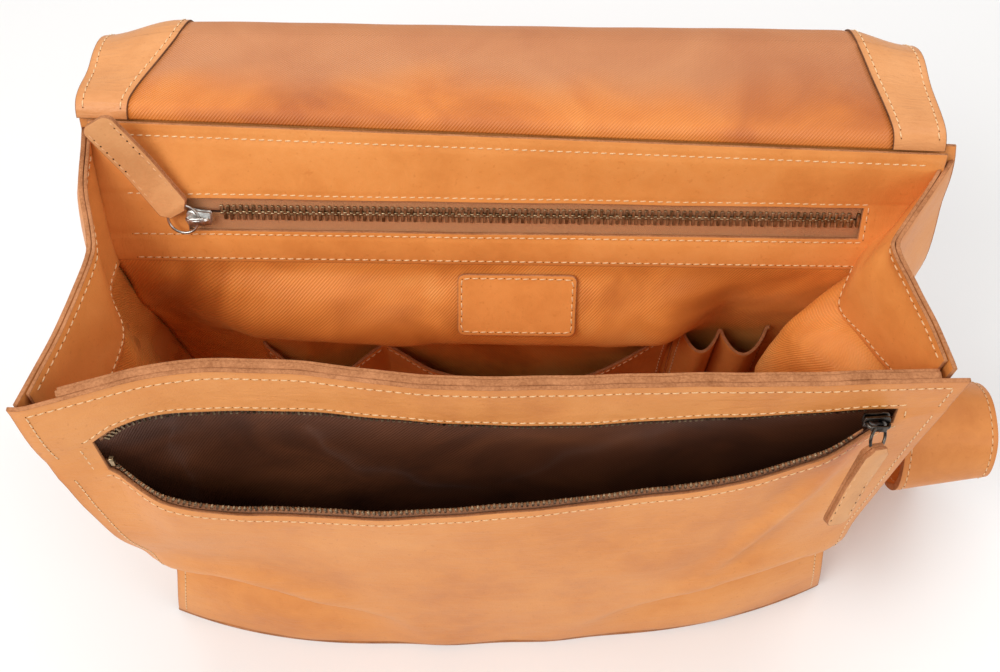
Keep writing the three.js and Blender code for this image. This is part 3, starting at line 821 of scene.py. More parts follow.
def front_panel():
    columns = fine_front_columns()
    rows = LOW_ROWS[::-1] + TOP_ROWS[::-1]
    gap = len(LOW_ROWS) - 1

    def keep(i, j):
        middle = 0.5 * (columns[i] + columns[i + 1]) * FRONT_HALF
        return j != gap or not LIP_LEFT < middle < LIP_RIGHT

    skin("front_leather", columns, rows, front_point, LEATHER_THICK, [LEATHER, EDGE, SUEDE], "bag",
         "leather", ["front_panel"], keep=keep, inner=2)


def back_panel():
    def at(u, z):
        x = u * (half_width(z) + rear_flare[1](z) * smooth(0.85, 1, u))
        return x, back_wall_y(x, z) + 5.2 + 0.5 * ripple(x, z, 2.2) * smooth(1, 0.9, abs(u)), z
    skin("back_leather", steps(-1, 1, 60), steps(BASE_THICK + 0.6, BACK_TOP + 3, 60), at, LEATHER_THICK,
         [LEATHER, EDGE], "bag", "leather", ["back_panel"])


def base_panel():
    """The base, its front edge following the front panel's foot."""
    def at(x, t):
        foot = front_base_y(x) - front_push(x, BASE_THICK) - 1
        return x, lerp(foot, 57, t), BASE_THICK / 2
    skin("base_leather", steps(-187, 187, 60), steps(0, 1, 24), at, BASE_THICK,
         [LEATHER, EDGE], "bag", "leather", ["base_panel"])


def gussets():
    for label, side in SIDES:
        def at(s, t, side=side):
            return gusset_point(side, s, lerp(BASE_THICK + 0.6, gusset_top(s), t))
        skin(f"gusset_leather_{label}", steps(0, 1, 36), steps(0, 1, 48), at, LEATHER_THICK,
             [LEATHER, EDGE], "bag", "leather", [f"gusset_{label}"])


def facing_cut(side, s):
    """How far below the rim a gusset's facing ends: level on the left, a curve on the right."""
    if side < 0:
        return lerp(60, 49, s)
    return 57 + 6 * hump(s, 0.26, 0.13) - 12 * smooth(0.3, 0.85, s)


def gusset_facing_at(side, s, t):
    top = gusset_top(s)
    return gusset_inside(side, s, lerp(top - facing_cut(side, s), top, t))


def gusset_facings():
    for label, side in SIDES:
        def at(s, t, side=side):
            return gusset_facing_at(side, s, t)
        faces = [SUEDE, EDGE, FACING] if side < 0 else [FACING, EDGE, SUEDE]
        skin(f"gusset_facing_skin_{label}", steps(0.04, 0.96, 44), steps(0, 1, 24), at, FACING_THICK,
             faces, "bag", "facing_leather", [f"gusset_facing_{label}"], inner=2)


# ---------------------------------------------------------------- facings inside the mouth
def back_facing_at(x, z):
    sag = 0.25 * ripple(x, z, 3.1) * smooth(0, 20, z - FACING_BOTTOM) * smooth(0, 14, BACK_TOP - z)
    groove = 0.35 * (hump(z, 256.7, 1.0) + hump(z, 238.0, 1.0) + hump(z, HINGE_SEAM, 1.2))
    return x, back_wall_y(x, z) - 0.2 + sag + groove, z


def back_facing():
    us = [*steps(-187, WINDOW_LEFT, 8), *steps(WINDOW_LEFT, WINDOW_RIGHT, 60)[1:],
          *steps(WINDOW_RIGHT, 193, 6)[1:]]
    vs = [*steps(FACING_BOTTOM, WINDOW_LOW, 14), *steps(WINDOW_LOW, WINDOW_HIGH, 8)[1:],
          *steps(WINDOW_HIGH, BACK_TOP + 3, 26)[1:]]

    def keep(i, j):
        return not (WINDOW_LEFT <= us[i] < WINDOW_RIGHT - 0.1 and WINDOW_LOW <= vs[j] < WINDOW_HIGH - 0.1)

    skin("back_facing_skin", us, vs, back_facing_at, FACING_THICK, [FACING, EDGE, SUEDE], "bag",
         "facing_leather", ["back_facing"], keep=keep, inner=2)


def front_inside(u, z, off):
    x = u * (half_width(z) - INNER_INSET - 2)
    tuck = inward(x, z) if z < 215 else 0
    return x, wall_y(x, z) + off + tuck + front_waves(u, x, z), z


def front_facing():
    def at(u, t):
        return front_inside(u, lerp(234, front_top_z(u * 180) - 0.5, t), 5.2)
    skin("front_facing_skin", steps(-1, 1, 90), steps(0, 1, 12), at, FACING_THICK,
         [SUEDE, EDGE, FACING], "bag", "facing_leather", ["front_facing"], inner=2)

    def ply(u, t):
        top = front_top_z(u * 180)
        return front_inside(u, lerp(top - 12, top + 0.5 * ripple(u * 420, 7, 2.0), t), 2.7)
    skin("front_edge_filler", steps(-1, 1, 160), steps(0, 1, 4), ply, 3.2, [SUEDE, EDGE],
         "bag", "facing_leather", ["front_edge_ply"])


# ---------------------------------------------------------------- lining
# How far the back lining sags forward below its facing.
shelf = spline([(120, 0), (143, 1.5), (155, 10.5), (168, 18), (178, 22), (188, 20), (203, 10.5),
                (216, 1.2), (223, 0)])


def lining_folds(x, z):
    """The satin sags forward below the facing; soft slanting folds gather at its left end."""
    patch = smooth(-44, -28, x) * smooth(56, 40, x)
    reach = smooth(222, 205, z) * smooth(20, 90, z) * (1 - 0.9 * patch)
    slant = math.sin(0.055 * (x + 0.9 * z) + 0.8 * math.sin(0.021 * x)) * 1.3
    corner = 4.5 * hump(x + 0.5 * (222 - z), -160, 11) * smooth(140, 215, z)
    sag = shelf(z) * smooth(-172, -118, x) * smooth(114, 76, x) if z > 120 else 0
    return (slant + 0.9 * ripple(x * 1.3, z * 1.6, 5.0) - corner) * reach - sag


LINING_BOTTOM = 4.5


def main_lining():
    def back(u, z):
        x = u * (half_width(z) - 2.6)
        return x, back_y(z) - 0.3 + min(lining_folds(x, z), 1.5), z
    cloth("lining_back_cloth", steps(-1, 1, 130), steps(LINING_BOTTOM, FACING_BOTTOM + 4, 90), back,
          LINING, "lining", ["lining_back"])

    def front(u, z):
        return front_inside(u, z, 5.2 + 0.5 * ripple(u * 180, z, 6.0))
    cloth("lining_front_cloth", steps(-1, 1, 60), steps(LINING_BOTTOM, 236, 30), front,
          LINING, "lining", ["lining_front"])

    for label, side in SIDES:
        def at(s, t, side=side):
            z = lerp(LINING_BOTTOM, gusset_top(s) - facing_cut(side, s) + 4, t)
            pucker = 0.9 * ripple(s * 260, z * 1.8, 7.0 + side) * smooth(1.0, 0.9, t)
            full = billow(z) * fold_shape(s, 0.42, 0.05) ** 0.7 if side > 0 else 0
            return gusset_inside(side, s, z, -1.2 + pucker + full * smooth(1.0, 0.93, t))
        cloth(f"lining_{label}_cloth", steps(0.04, 0.96, 44), steps(0, 1, 60), at,
              LINING, "lining", [f"lining_{label}"])

    def floor(x, t):
        return x, lerp(lerp(-48, -31, (x + 182) / 364), 49, t), BASE_THICK + 1 + 0.5 * ripple(x, 90 * t, 8.0)
    cloth("lining_base_cloth", steps(-180, 180, 40), steps(0, 1, 14), floor, LINING, "lining",
          ["lining_base"])


POCKET_LEFT, POCKET_RIGHT = -185, 176


def pocket_x(u, z):
    """Across the front pocket's cloth, which stays between the bag's sides."""
    left = max(POCKET_LEFT, 8 - front_half_width(-1, z))
    right = min(POCKET_RIGHT, half_width(z) - 9)
    return lerp(left, right, (u + 1) / 2)


def closing(u):
    """1 at both ends of the front pocket, where its outer cloth turns in to meet the rear one."""
    return smooth(0.95, 1, abs(u))


def pocket_linings():
    def back(x, z):
        return x, back_y(z) + 2.9, z
    cloth("back_pocket_cloth", steps(-155, 170, 50), steps(110, 262, 30), back,
          POCKET, "pocket_lining", ["back_pocket_lining"], 0.6)

    def rear(u, t):
        x = lerp(POCKET_LEFT, POCKET_RIGHT, (u + 1) / 2)
        z = lerp(30, lip_z(x) + 6, t)
        x = pocket_x(u, z)
        sag = 1.1 * ripple(x * 1.2, z * 1.4, 9.0) * smooth(1.0, 0.9, t)
        return x, wall_y(x, z) + 2.8 + 0.5 * sag + (inward(x, z) if z < lower_lip(x) else 0), z
    cloth("front_pocket_cloth", steps(-1, 1, 80), steps(0, 1, 50), rear,
          POCKET, "pocket_lining", ["front_pocket_lining"], 0.6)

    def belly_inside(u, t):
        x = lerp(POCKET_LEFT, POCKET_RIGHT, (u + 1) / 2)
        z = lerp(34, lower_lip(x) + lerp(-4, 9, closing(u)), t)
        x = pocket_x(u, z)
        outer = 1.9 - max(front_push(x, z) - 1.2, 0) + 0.4 * ripple(x, z, 9.5)
        return x, wall_y(x, z) + lerp(outer, 2.0, closing(u)) + inward(x, z), z
    ends = [-1, -0.995, -0.99, -0.98, -0.965, -0.95]
    cloth("front_pocket_cloth_outer", [*ends, *steps(-0.93, 0.93, 60), *(-u for u in ends[::-1])],
          steps(0, 1, 36), belly_inside, POCKET, "pocket_lining", thick=0.6)


# ---------------------------------------------------------------- organiser
organiser_top = spline([(-130, 130), (-98, 108), (-65, 131), (-36, 112), (40, 112), (92, 158)])
ORGANISER_BOTTOM = 30


def pocket_stand(x, start, end, deep):
    t = (x - start) / (end - start)
    return 0 if t <= 0 or t >= 1 else deep * math.sin(math.pi * t) ** 0.7


def organiser_at(x, t):
    z = lerp(ORGANISER_BOTTOM, organiser_top(x), t)
    stand = pocket_stand(x, -130, -65, 12) + pocket_stand(x, -65, 88, 14)
    return x, back_y(z) - 0.9 - stand * (0.55 + 0.45 * t) - 1.2 * smooth(0.7, 1, t), z


def pen_loops_at(x, t):
    stand = pocket_stand(x, 92, 112, 13) + pocket_stand(x, 112, 136, 14)
    z = lerp(60, 158 - 0.5 * stand, t)
    return x, back_y(z) - 1.8 - stand, z


def organiser():
    skin("organiser_leather", steps(-130, 88, 100), steps(0, 1, 26), organiser_at, FACING_THICK,
         [FACING, EDGE, SUEDE], "bag", "facing_leather", ["organiser_panel"], inner=2)
    skin("pen_loop_leather", steps(90, 138, 60), steps(0, 1, 20), pen_loops_at, FACING_THICK,
         [FACING, EDGE, SUEDE], "bag", "facing_leather", ["pen_loops"], inner=2)


LABEL_LEFT, LABEL_RIGHT, LABEL_TALL = -23, 34, 32.4
LABEL_FOOT, LABEL_HEAD = (10.0, 190.4), (26.6, 218.4)  # y and z of its lower and upper edge
LABEL_ROUND = 3.5


def label_at(x, rise):
    """The patch lies on the sagging lining; its corners are round."""
    middle_x, middle_r = (LABEL_LEFT + LABEL_RIGHT) / 2, LABEL_TALL / 2
    px, pr = x - middle_x, rise - middle_r
    inner_x, inner_r = (LABEL_RIGHT - LABEL_LEFT) / 2 - LABEL_ROUND, LABEL_TALL / 2 - LABEL_ROUND
    qx, qr = px - clamp(px, -inner_x, inner_x), pr - clamp(pr, -inner_r, inner_r)
    reach = math.hypot(qx, qr)
    if reach > 0:
        square = max(abs(qx), abs(qr))
        px += qx * (square / reach - 1)
        pr += qr * (square / reach - 1)
    t = (middle_r + pr) / LABEL_TALL
    return middle_x + px, lerp(LABEL_FOOT[0], LABEL_HEAD[0], t), lerp(LABEL_FOOT[1], LABEL_HEAD[1], t)


def label():
    """The stitched patch, left blank."""
    skin("label_leather", steps(LABEL_LEFT, LABEL_RIGHT, 40), steps(0, LABEL_TALL, 24), label_at,
         FACING_THICK, [FACING, EDGE], "bag", "facing_leather", ["label_patch"])


for make in (front_panel, back_panel, base_panel, gussets, gusset_facings, back_facing, front_facing,
             main_lining, pocket_linings, organiser, label):
    make()


# ---------------------------------------------------------------- zips
def add_tooth(bm, point, out, along, normal, long, wide):
    """One cast zip tooth: a bar across the tape with a bead at its free end."""
    add_block(bm, axes(out, along, normal, point), (long, wide, 1.3), 0.3)
    tip = point + out * (0.5 * long - 0.5)
    add_block(bm, axes(out, along, normal, tip), (1.2, wide + 0.3, 1.5), 0.4)


def tooth_row(name, line, lean, material, replaced, pitch, long, wide, offset=0.0):
    """Teeth along a line of (point, normal) in mm; lean 1 points them down the tape, -1 up."""
    bm = bmesh.new()
    for point, way, normal in resample(line, pitch):
        out = way.cross(normal).normalized() * lean
        add_tooth(bm, point + way * offset * pitch, out, way, out.cross(way), long, wide)
    settle(name, mesh_from(bm, name), [material], "bag", "brass", replaced)


def zip_stop(which, turn, size):
    bm = bmesh.new()
    add_block(bm, turn, size, 0.4)
    name = f"{which}_stop"
    settle(name, mesh_from(bm, name), [BRASS], "bag", "brass", [f"{which}_zip_end_stop"])


def back_zip():
    def tape(x, z):
        return x, back_y(z) + 1.7 + 0.12 * math.sin(x * 0.9), z
    middle = 0.5 * (WINDOW_LOW + WINDOW_HIGH)
    for half, low, high in (("upper", middle + 0.5, 260), ("lower", 235, middle - 0.5)):
        cloth(f"back_tape_{half}", steps(-150, 168, 60), steps(low, high, 6), tape, TAPE, "zip_tape",
              [f"back_zip_tape_{half}"], 0.7)
    for half, lean, shift in (("upper", 1, 0.0), ("lower", -1, 0.5)):
        line = on_surface(tape, [(x, middle + 1.3 * lean) for x in steps(-133, 159, 120)], 1.1)
        tooth_row(f"back_teeth_{half}", line, lean, BRASS, [f"back_zip_teeth_{half}"], 2.9, 4.6, 1.4, shift)
    here, normal = surface_frame(tape, 161.9, middle)
    along = Vector((1, 0, 0))
    zip_stop("back", axes(along, normal.cross(along), normal, here + normal * 1.1), (1.6, 7.0, 2.2))


def lip_at(lip, x, rise):
    """A point in the plane of a lip of the front mouth, rise mm above its cut edge."""
    z = (lip_z(x) if lip == "upper" else lower_lip(x)) + rise
    push = 0 if lip == "upper" else front_push(x, lower_lip(x))
    return x, wall_y(x, z) - push + front_waves(x / FRONT_HALF, x, z), z


def front_zip():
    for lip, low, high, x0, x1 in (("upper", -3.6, 7, -172, 160), ("lower", -7, 3.6, -172, 154)):
        def tape(x, rise, lip=lip):
            x, y, z = lip_at(lip, x, rise)
            return x, y + 2.0, z
        cloth(f"front_tape_{lip}", steps(x0, x1, 120), steps(low, high, 6), tape, TAPE, "zip_tape",
              [f"front_zip_tape_{lip}"], 0.7)
        lean = 1 if lip == "upper" else -1
        line = on_surface(tape, [(x, -3.6 * lean) for x in steps(x0 + 2, x1 - 4, 160)], 0.6)
        tooth_row(f"front_teeth_{lip}", line, lean, ANTIQUE, [f"front_zip_teeth_{lip}"], 2.4, 3.4, 1.1)
    here = Vector(lip_at("lower", -169, 5)) + Vector((0, 1.4, 0))
    zip_stop("front", Matrix.Translation(here), (2.2, 2.2, 6))


def node_frame(node, along, normal):
    """A matrix in mm at the middle of a CAD node's box, x along and z normal."""
    low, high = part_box(node)
    along, normal = Vector(along).normalized(), Vector(normal).normalized()
    across = normal.cross(along).normalized()
    return axes(across.cross(normal), across, normal, (low + high) / 2 / MM)


def slider(name, turn, material, slot, body, node, tall=2.9):
    """A zip slider: two winged plates joined at the nose, a bridge for the ring, and a lock pin."""
    bm = bmesh.new()
    edge = [(-5.6, -2.4), (-4.9, -3.1), (0.6, -3.4), (2.2, -4.3), (4.6, -4.1), (5.6, -2.6)]
    outline = edge + [(5.9, 0)] + [(x, -y) for x, y in edge[::-1]]
    for height, thick in ((1.15, 1.1), (-1.0, 0.8)):
        low = [bm.verts.new((x, y, height - thick / 2)) for x, y in outline]
        high = [bm.verts.new((x, y, height + thick / 2)) for x, y in outline]
        bm.faces.new(high)
        bm.faces.new(low[::-1])
        add_walls(bm, low, high)
    round_edges(bm, bm.edges[:], 0.22)
    for vert in bm.verts:
        vert.co = (turn @ vert.co) * MM
    add_block(bm, turn @ Matrix.Translation((4.3, 0, 0)), (1.6, 1.5, 2.0), 0.3)
    arch = []
    for k in range(17):
        a = math.pi * k / 16
        arch.append(turn @ Vector((0.6 - 4.7 * math.cos(a), 0, 1.3 + tall * math.sin(a) ** 0.6)))
    bridge = tube_mesh("bridge", arch, 0.95, sides=8)
    bm.from_mesh(bridge)
    bpy.data.meshes.remove(bridge)
    add_block(bm, turn @ Matrix.Translation((0.6, 0, 1.3 + tall)), (7.0, 3.4, 1.4), 0.5)
    for face in bm.faces:
        face.smooth = True
    settle(name, mesh_from(bm, name, True), [material], body, slot, [node])


def ring(name, start, end, normal, wide, wire, material, slot, body, node):
    """A wire ring that passes through start (in the slider's bridge) and end (in the pull's fold)."""
    way = (end - start).normalized()
    side = normal.cross(way).normalized()
    long = (end - start).length / 2
    path = []
    for k in range(48):
        a = 2 * math.pi * k / 48
        path.append((start + end) / 2 + way * long * math.cos(a) + side * wide * math.sin(a))
    settle(name, tube_mesh(name, path, wire, closed=True), [material], body, slot, [node])


PULL_HALF, PULL_CORNER = 7.5, 4.5


def pull_outline(start, end, inset=0.0):
    """Half-width of a pull from its ring end to its other end, whose corners are round."""
    points = []
    half = PULL_HALF - inset
    for t in steps(0, 1, 6):
        points.append((start + inset + 4.5 * t, lerp(4.2 - inset, half, smooth(0, 1, t))))
    points.append((lerp(start, end, 0.5), half))
    corner = PULL_CORNER - 0.5 * inset
    for k in range(7):
        a = math.pi / 2 * (1 - k / 6)
        points.append((end - inset - corner * (1 - math.cos(a)), half - corner * (1 - math.sin(a))))
    return points


def leather_pull(name, turn, start, end, thick, body, node, curl):
    """Two plies of leather sewn round the edge, folded over the ring at one end."""
    bm = bmesh.new()
    bm.verts.layers.float.new("edge")
    half = pull_outline(start, end)
    loop = half + [(x, -y) for x, y in half[::-1]]

    def bend(x, y, z):
        t = (x - start) / (end - start)
        swell = 0.5 * hump(x, start + 2.5, 3.0)
        return Vector((x, y, z * (1 + swell) + curl * t * t + 0.25 * math.sin(9 * t) * t))
    for low, high in ((-0.5, -0.04), (0.04, 0.5)):
        bottom = [bm.verts.new(bend(x, y, low * thick)) for x, y in loop]
        top = [bm.verts.new(bend(x, y, high * thick)) for x, y in loop]
        for verts, flip in ((bottom, True), (top, False)):
            for k in range(len(half) - 1):
                corners = [verts[k], verts[k + 1], verts[-2 - k], verts[-1 - k]]
                face = bm.faces.new(corners if not flip else corners[::-1])
                face.smooth = True
        add_walls(bm, bottom, top, 1)
    bmesh.ops.recalc_face_normals(bm, faces=bm.faces)
    round_rims(bm, 1, 0.3)
    edge = bm.verts.layers.float["edge"]
    for vert in bm.verts:
        vert[edge] = 3.0
        vert.co = (turn @ vert.co) * MM
    settle(name, mesh_from(bm, name), [PULL_LEATHER, EDGE], body, "pull_leather", [node])

    inside = pull_outline(start, end, 1.7)
    line = inside + [(x, -y) for x, y in inside[::-1]]
    lines = []
    for face in (1, -1):
        normal = (turn.to_3x3() @ Vector((0, 0, face))).normalized()
        spots = [(turn @ bend(x, y, face * thick * 0.5), normal) for x, y in line
                 if start + 5 < x < end - 3]
        lines += [spots[:len(spots) // 2], spots[len(spots) // 2:]]
    seams(f"{name}_stitches", lines, body, "pull_leather", yarn=PULL_THREAD, pitch=4.0,
          long=2.4, radius=0.28, hole_radius=0.46)


BACK_LEAN = math.atan2(back_y(255) - back_y(240), 15)
BACK_NORMAL = Vector((0, -math.cos(BACK_LEAN), math.sin(BACK_LEAN)))


def zip_hardware():
    back = node_frame("back_zip_slider", (-1, 0, 0), BACK_NORMAL)
    slider("back_slider_body", back, STEEL, "steel", "back_slider", "back_zip_slider")
    turn = back @ Matrix.Translation((7.0, 0, 2.2)) @ Matrix.Rotation(math.radians(-59), 4, "Z")
    ring("back_ring_wire", turn @ Vector((-7.0, 0, 0)), turn @ Vector((7.0, 0, 0)), BACK_NORMAL, 7.0, 0.65,
         STEEL, "steel", "back_ring", "back_zip_ring")
    leather_pull("back_pull_leather", turn, 3.6, 60.0, 3.0, "back_pull", "back_zip_pull", 8.0)

    front_normal = Vector((0, -1, 0.12))
    front = node_frame("front_zip_slider", (1, -0.02, -0.03), front_normal)
    slider("front_slider_body", front, GUNMETAL, "gunmetal", "front_slider", "front_zip_slider", 3.4)
    hang = Vector((-16, -20, -43)).normalized()
    face = Vector((0.62, -0.84, 0.4))
    face = (face - hang * face.dot(hang)).normalized()
    turn = node_frame("front_zip_ring", hang, face)
    ring("front_ring_wire", front @ Vector((1.5, 0, 3.1)), turn @ Vector((-0.6, 0, 0)), face, 5.0, 0.7,
         GUNMETAL, "gunmetal", "front_ring", "front_zip_ring")
    leather_pull("front_pull_leather", turn, -3.6, 40.0, 3.2, "front_pull", "front_zip_pull", 1.5)


# ---------------------------------------------------------------- shoulder strap
STRAP_WIDE, STRAP_THICK = 50, 3.6
# Each row is a point on the strap's middle line and the direction across its width.
STRAP_ROUTE = [
    ((160, 56, 266), (1, 0, 0)),
    ((160, 46, 243), (1, 0, 0)),
    ((160, 40.4, 222), (1, 0, 0.04)),
    ((164, 49, 190), (1, 0, 0.12)),
    ((176, 72, 142), (0.97, 0, 0.24)),
    ((196, 94, 85), (0.95, 0, 0.3)),
    ((216, 104, 38), (0.95, 0, 0.3)),
    ((228, 98, 8), (1, 0, 0.05)),
    ((232, 76, 3.4), (1, 0, 0)),
    ((233, 52, 5), (1, 0, 0)),
    ((233, 31, 22), (1, 0, 0)),
    ((233, 20, 52), (1, 0, 0)),
    ((233, 6, 80), (1, 0.06, 0)),
    ((233, -14, 90), (1, 0.14, 0.06)),
    ((233, -22, 106), (1, 0.16, 0.02)),
    ((233, -12, 126), (1, 0.08, -0.08)),
    ((233, 10, 132), (1, -0.02, -0.14)),
    ((234, 30, 118), (1, -0.08, -0.1)),
    ((235, 42, 90), (1, -0.04, 0)),
    ((234, 53, 62), (1, -0.3, 0.1)),
    ((226, 66, 42), (0.75, -0.55, 0.45)),
    ((206, 76, 33), (0.35, -0.3, 0.9)),
    ((176, 76, 29), (0, 0, 1)),
    ((110, 72, 28.5), (0, 0, 1)),
    ((30, 70, 28.5), (0, 0, 1)),
    ((-50, 71, 31), (0.05, 0, 1)),
    ((-112, 76, 48), (0.5, 0, 0.87)),
    ((-152, 78, 96), (0.9, 0, 0.44)),
    ((-161, 64, 152), (1, 0, 0.1)),
    ((-160, 48, 192), (1, 0, 0.02)),
    ((-160, 40.4, 222), (1, 0, 0)),
    ((-160, 46, 243), (1, 0, 0)),
    ((-160, 56, 266), (1, 0, 0)),
]


def catmull(rows, t):
    """A point on the smooth curve through rows of vectors, t from 0 to 1, even in chord length."""
    k = min(int(t * (len(rows) - 1)), len(rows) - 2)
    u = t * (len(rows) - 1) - k
    p0, p1, p2, p3 = rows[max(k - 1, 0)], rows[k], rows[k + 1], rows[min(k + 2, len(rows) - 1)]
    knots = [0.0]
    for a, b in ((p0, p1), (p1, p2), (p2, p3)):
        knots.append(knots[-1] + max((b - a).length ** 0.5, 1e-3))
    at = lerp(knots[1], knots[2], u)

    def mix(a, b, low, high):
        return a.lerp(b, (at - low) / (high - low))
    a1, a2, a3 = (mix(p0, p1, knots[0], knots[1]), mix(p1, p2, knots[1], knots[2]),
                  mix(p2, p3, knots[2], knots[3]))
    b1, b2 = mix(a1, a2, knots[0], knots[2]), mix(a2, a3, knots[1], knots[3])
    return mix(b1, b2, knots[1], knots[2])


STRAP_MIDDLE = [Vector(point) for point, _ in STRAP_ROUTE]
STRAP_ACROSS = [Vector(way).normalized() for _, way in STRAP_ROUTE]


def strap_at(u, t):
    middle = catmull(STRAP_MIDDLE, t)
    across = catmull(STRAP_ACROSS, t).normalized()
    return middle + across * u


def shoulder_strap():
    half = STRAP_WIDE / 2
    columns = [-half, -half + 0.8, -half + 2.2, *steps(-half + 4, half - 4, 8), half - 2.2, half - 0.8, half]
    skin("strap_leather", columns, steps(0, 1, 330), strap_at, STRAP_THICK, [LEATHER, EDGE], "bag",
         "leather", ["shoulder_strap"], bevel=0.6)
    lines = []
    for u in (-half + 3.2, half - 3.2):
        for face in (1, -1):
            places = [(u, t) for t in steps(0.005, 0.995, 520)]
            lines.append(on_surface(strap_at, places, face * (STRAP_THICK / 2 + 0.02), 0.4, 0.001))
    seams("strap_stitches", lines, "bag", "leather", pitch=4.4, long=2.9, radius=0.33)


# ---------------------------------------------------------------- flap
HINGE_Y, HINGE_Z = 60.4, 286.0  # where the flap leaves the back wall
HINGE_RISE, HINGE_ARC, HINGE_LEAN = 2.0, 5.0, math.radians(65)
LIE_Y = HINGE_Y + HINGE_RISE * math.cos(HINGE_LEAN) + HINGE_ARC * math.sin(HINGE_LEAN)
LIE_Z = HINGE_Z + HINGE_RISE * math.sin(HINGE_LEAN) + HINGE_ARC * (1 - math.cos(HINGE_LEAN))
LIE_FROM = HINGE_RISE + HINGE_ARC * HINGE_LEAN
FLAP_HALF, FLAP_BORDER = 192, 23
BORDER_OFF = 1.8  # from the flap leather's middle to its border's middle
FLAP_FACES = (2.57, -1.02)  # where stitches lie on the border's face and on the flap's underside
FLAP_ARC_Y, FLAP_ARC_Z, FLAP_ARC = 106.0, 270.0, 22.0
FLAP_TOP_LONG = LIE_FROM + FLAP_ARC_Y - LIE_Y
FLAP_END = FLAP_TOP_LONG + FLAP_ARC * math.pi / 2 + (FLAP_ARC_Z - 30.0)


def flap_profile(s, arc):
    """y, z and the direction (dy, dz) at a distance s along the flap, whose bend has the radius arc."""
    if s < HINGE_RISE:
        dy, dz = math.cos(HINGE_LEAN), math.sin(HINGE_LEAN)
        return HINGE_Y + s * dy, HINGE_Z + s * dz, dy, dz
    if s < LIE_FROM:
        a = HINGE_LEAN - (s - HINGE_RISE) / HINGE_ARC
        y, z = LIE_Y - HINGE_ARC * math.sin(a), LIE_Z - HINGE_ARC * (1 - math.cos(a))
        return y, z, math.cos(a), math.sin(a)
    top = FLAP_ARC_Y + FLAP_ARC - arc - LIE_Y
    along, turn = s - LIE_FROM - top, arc * math.pi / 2
    if along < 0:
        return LIE_Y + top + along, LIE_Z, 1.0, 0.0
    if along < turn:
        a = along / arc
        y, z = LIE_Y + top + arc * math.sin(a), LIE_Z - arc * (1 - math.cos(a))
        return y, z, math.cos(a), -math.sin(a)
    return LIE_Y + top + arc, LIE_Z - arc - (along - turn), 0.0, -1.0


def flap_point(x, s, off=0.0):
    """A point of the flap at x and the distance s from the hinge, off mm out from the leather's middle."""
    side = smooth(0.8, 1.0, abs(x) / FLAP_HALF)
    y, z, dy, dz = flap_profile(s, FLAP_ARC + 9 * side)
    top = smooth(8, 34, s) * smooth(FLAP_TOP_LONG + 60, FLAP_TOP_LONG + 10, s)
    hang = smooth(FLAP_TOP_LONG + 20, FLAP_TOP_LONG + 70, s)
    y += hinge_skew(x) * smooth(45, 0, s)
    z -= 5.5 * side * top
    y -= 7.0 * side * hang * smooth(FLAP_END, FLAP_END - 120, s)
    z += 0.6 * top * ripple(x * 0.7, s * 1.5, 4.0)
    y += 1.6 * hang * ripple(x * 0.6, s * 0.7, 4.4) - 1.5 * hang
    return x, y - dz * off, z + dy * off


FLAP_SPLITS = (0.0, 50.0, 100.0, 200.0, FLAP_END)  # where one strip ends and the next starts
# Each strip's name and the bodies at its ends, and where each blend starts and ends, in metres.
FLAP_PARTS = (("hinge", "bag", "flap_top"), ("bend", "flap_top", "flap_middle"),
              ("fold", "flap_middle", "flap_front"), ("end", None, "flap_front"))
FLAP_BLENDS = {
    "hinge": ((0, 0.0600, 0.2865), (0, 0.0680, 0.2915)),
    "bend": ((0, 0.116, 0.292), (0, 0.140, 0.262)),
    "fold": ((0, 0.131, 0.216), (0, 0.131, 0.190)),
}


TIGHT_TO, ROW_GAP = 12, 3.2  # where the fine rows end, and the gap between the others


def flap_rows(low, high):
    """Rows along the flap, close together over the tight turn at the hinge."""
    rows = [s for s in steps(0, TIGHT_TO, 15) if low <= s < min(high, TIGHT_TO)]
    start = max(low, TIGHT_TO)
    return rows + steps(start, high, max(int((high - start) / ROW_GAP), 2))


def join_ends(mesh, xs, ends, at, thick):
    """Gives a strip's joined ends the surface's own normals, so that the next strip runs on."""
    wanted = {}
    for s in ends:
        for x in xs:
            here, normal = surface_frame(at, x, s, 0.004 if max(map(abs, xs)) <= 1 else 0.4)
            for side in (0.5, -0.5):
                place = here + normal * side * thick
                wanted[tuple(round(c, 1) for c in place)] = normal * (1 if side > 0 else -1)
    normals = []
    for loop in mesh.loops:
        key = tuple(round(c / MM, 1) for c in mesh.vertices[loop.vertex_index].co)
        normals.append(wanted.get(key, (0, 0, 0)))
    mesh.normals_split_custom_set(normals)


def fix_to_flap(made, label, first, second):
    if first is None:
        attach(made, second)
    else:
        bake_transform(made, first, second, *FLAP_BLENDS[label])


def flap_strips(name, xs, at, thick, materials, slot, nodes, s_from=0.0, s_to=FLAP_END, marks=None):
    """One layer of the flap as up to four strips, each of which crosses at most one joint."""
    for (label, first, second), start, end in zip(FLAP_PARTS, FLAP_SPLITS, FLAP_SPLITS[1:]):
        low, high = max(start, s_from), min(end, s_to)
        if high - low < 0.5:
            continue
        joined = (low > s_from, high < s_to)
        mesh = skin_mesh(f"{name}_{label}", xs, flap_rows(low, high), at, thick,
                         bevel=0.3 if thick > 1 else 0, marks=marks, joined=joined, uv_from=low)
        join_ends(mesh, xs, [s for s, meets in zip((low, high), joined) if meets], at, thick)
        hide = [node for node in nodes if node.startswith(f"flap_{second[5:]}_")]
        fix_to_flap(settle(f"{name}_{label}", mesh, materials, None, slot, hide), label, first, second)


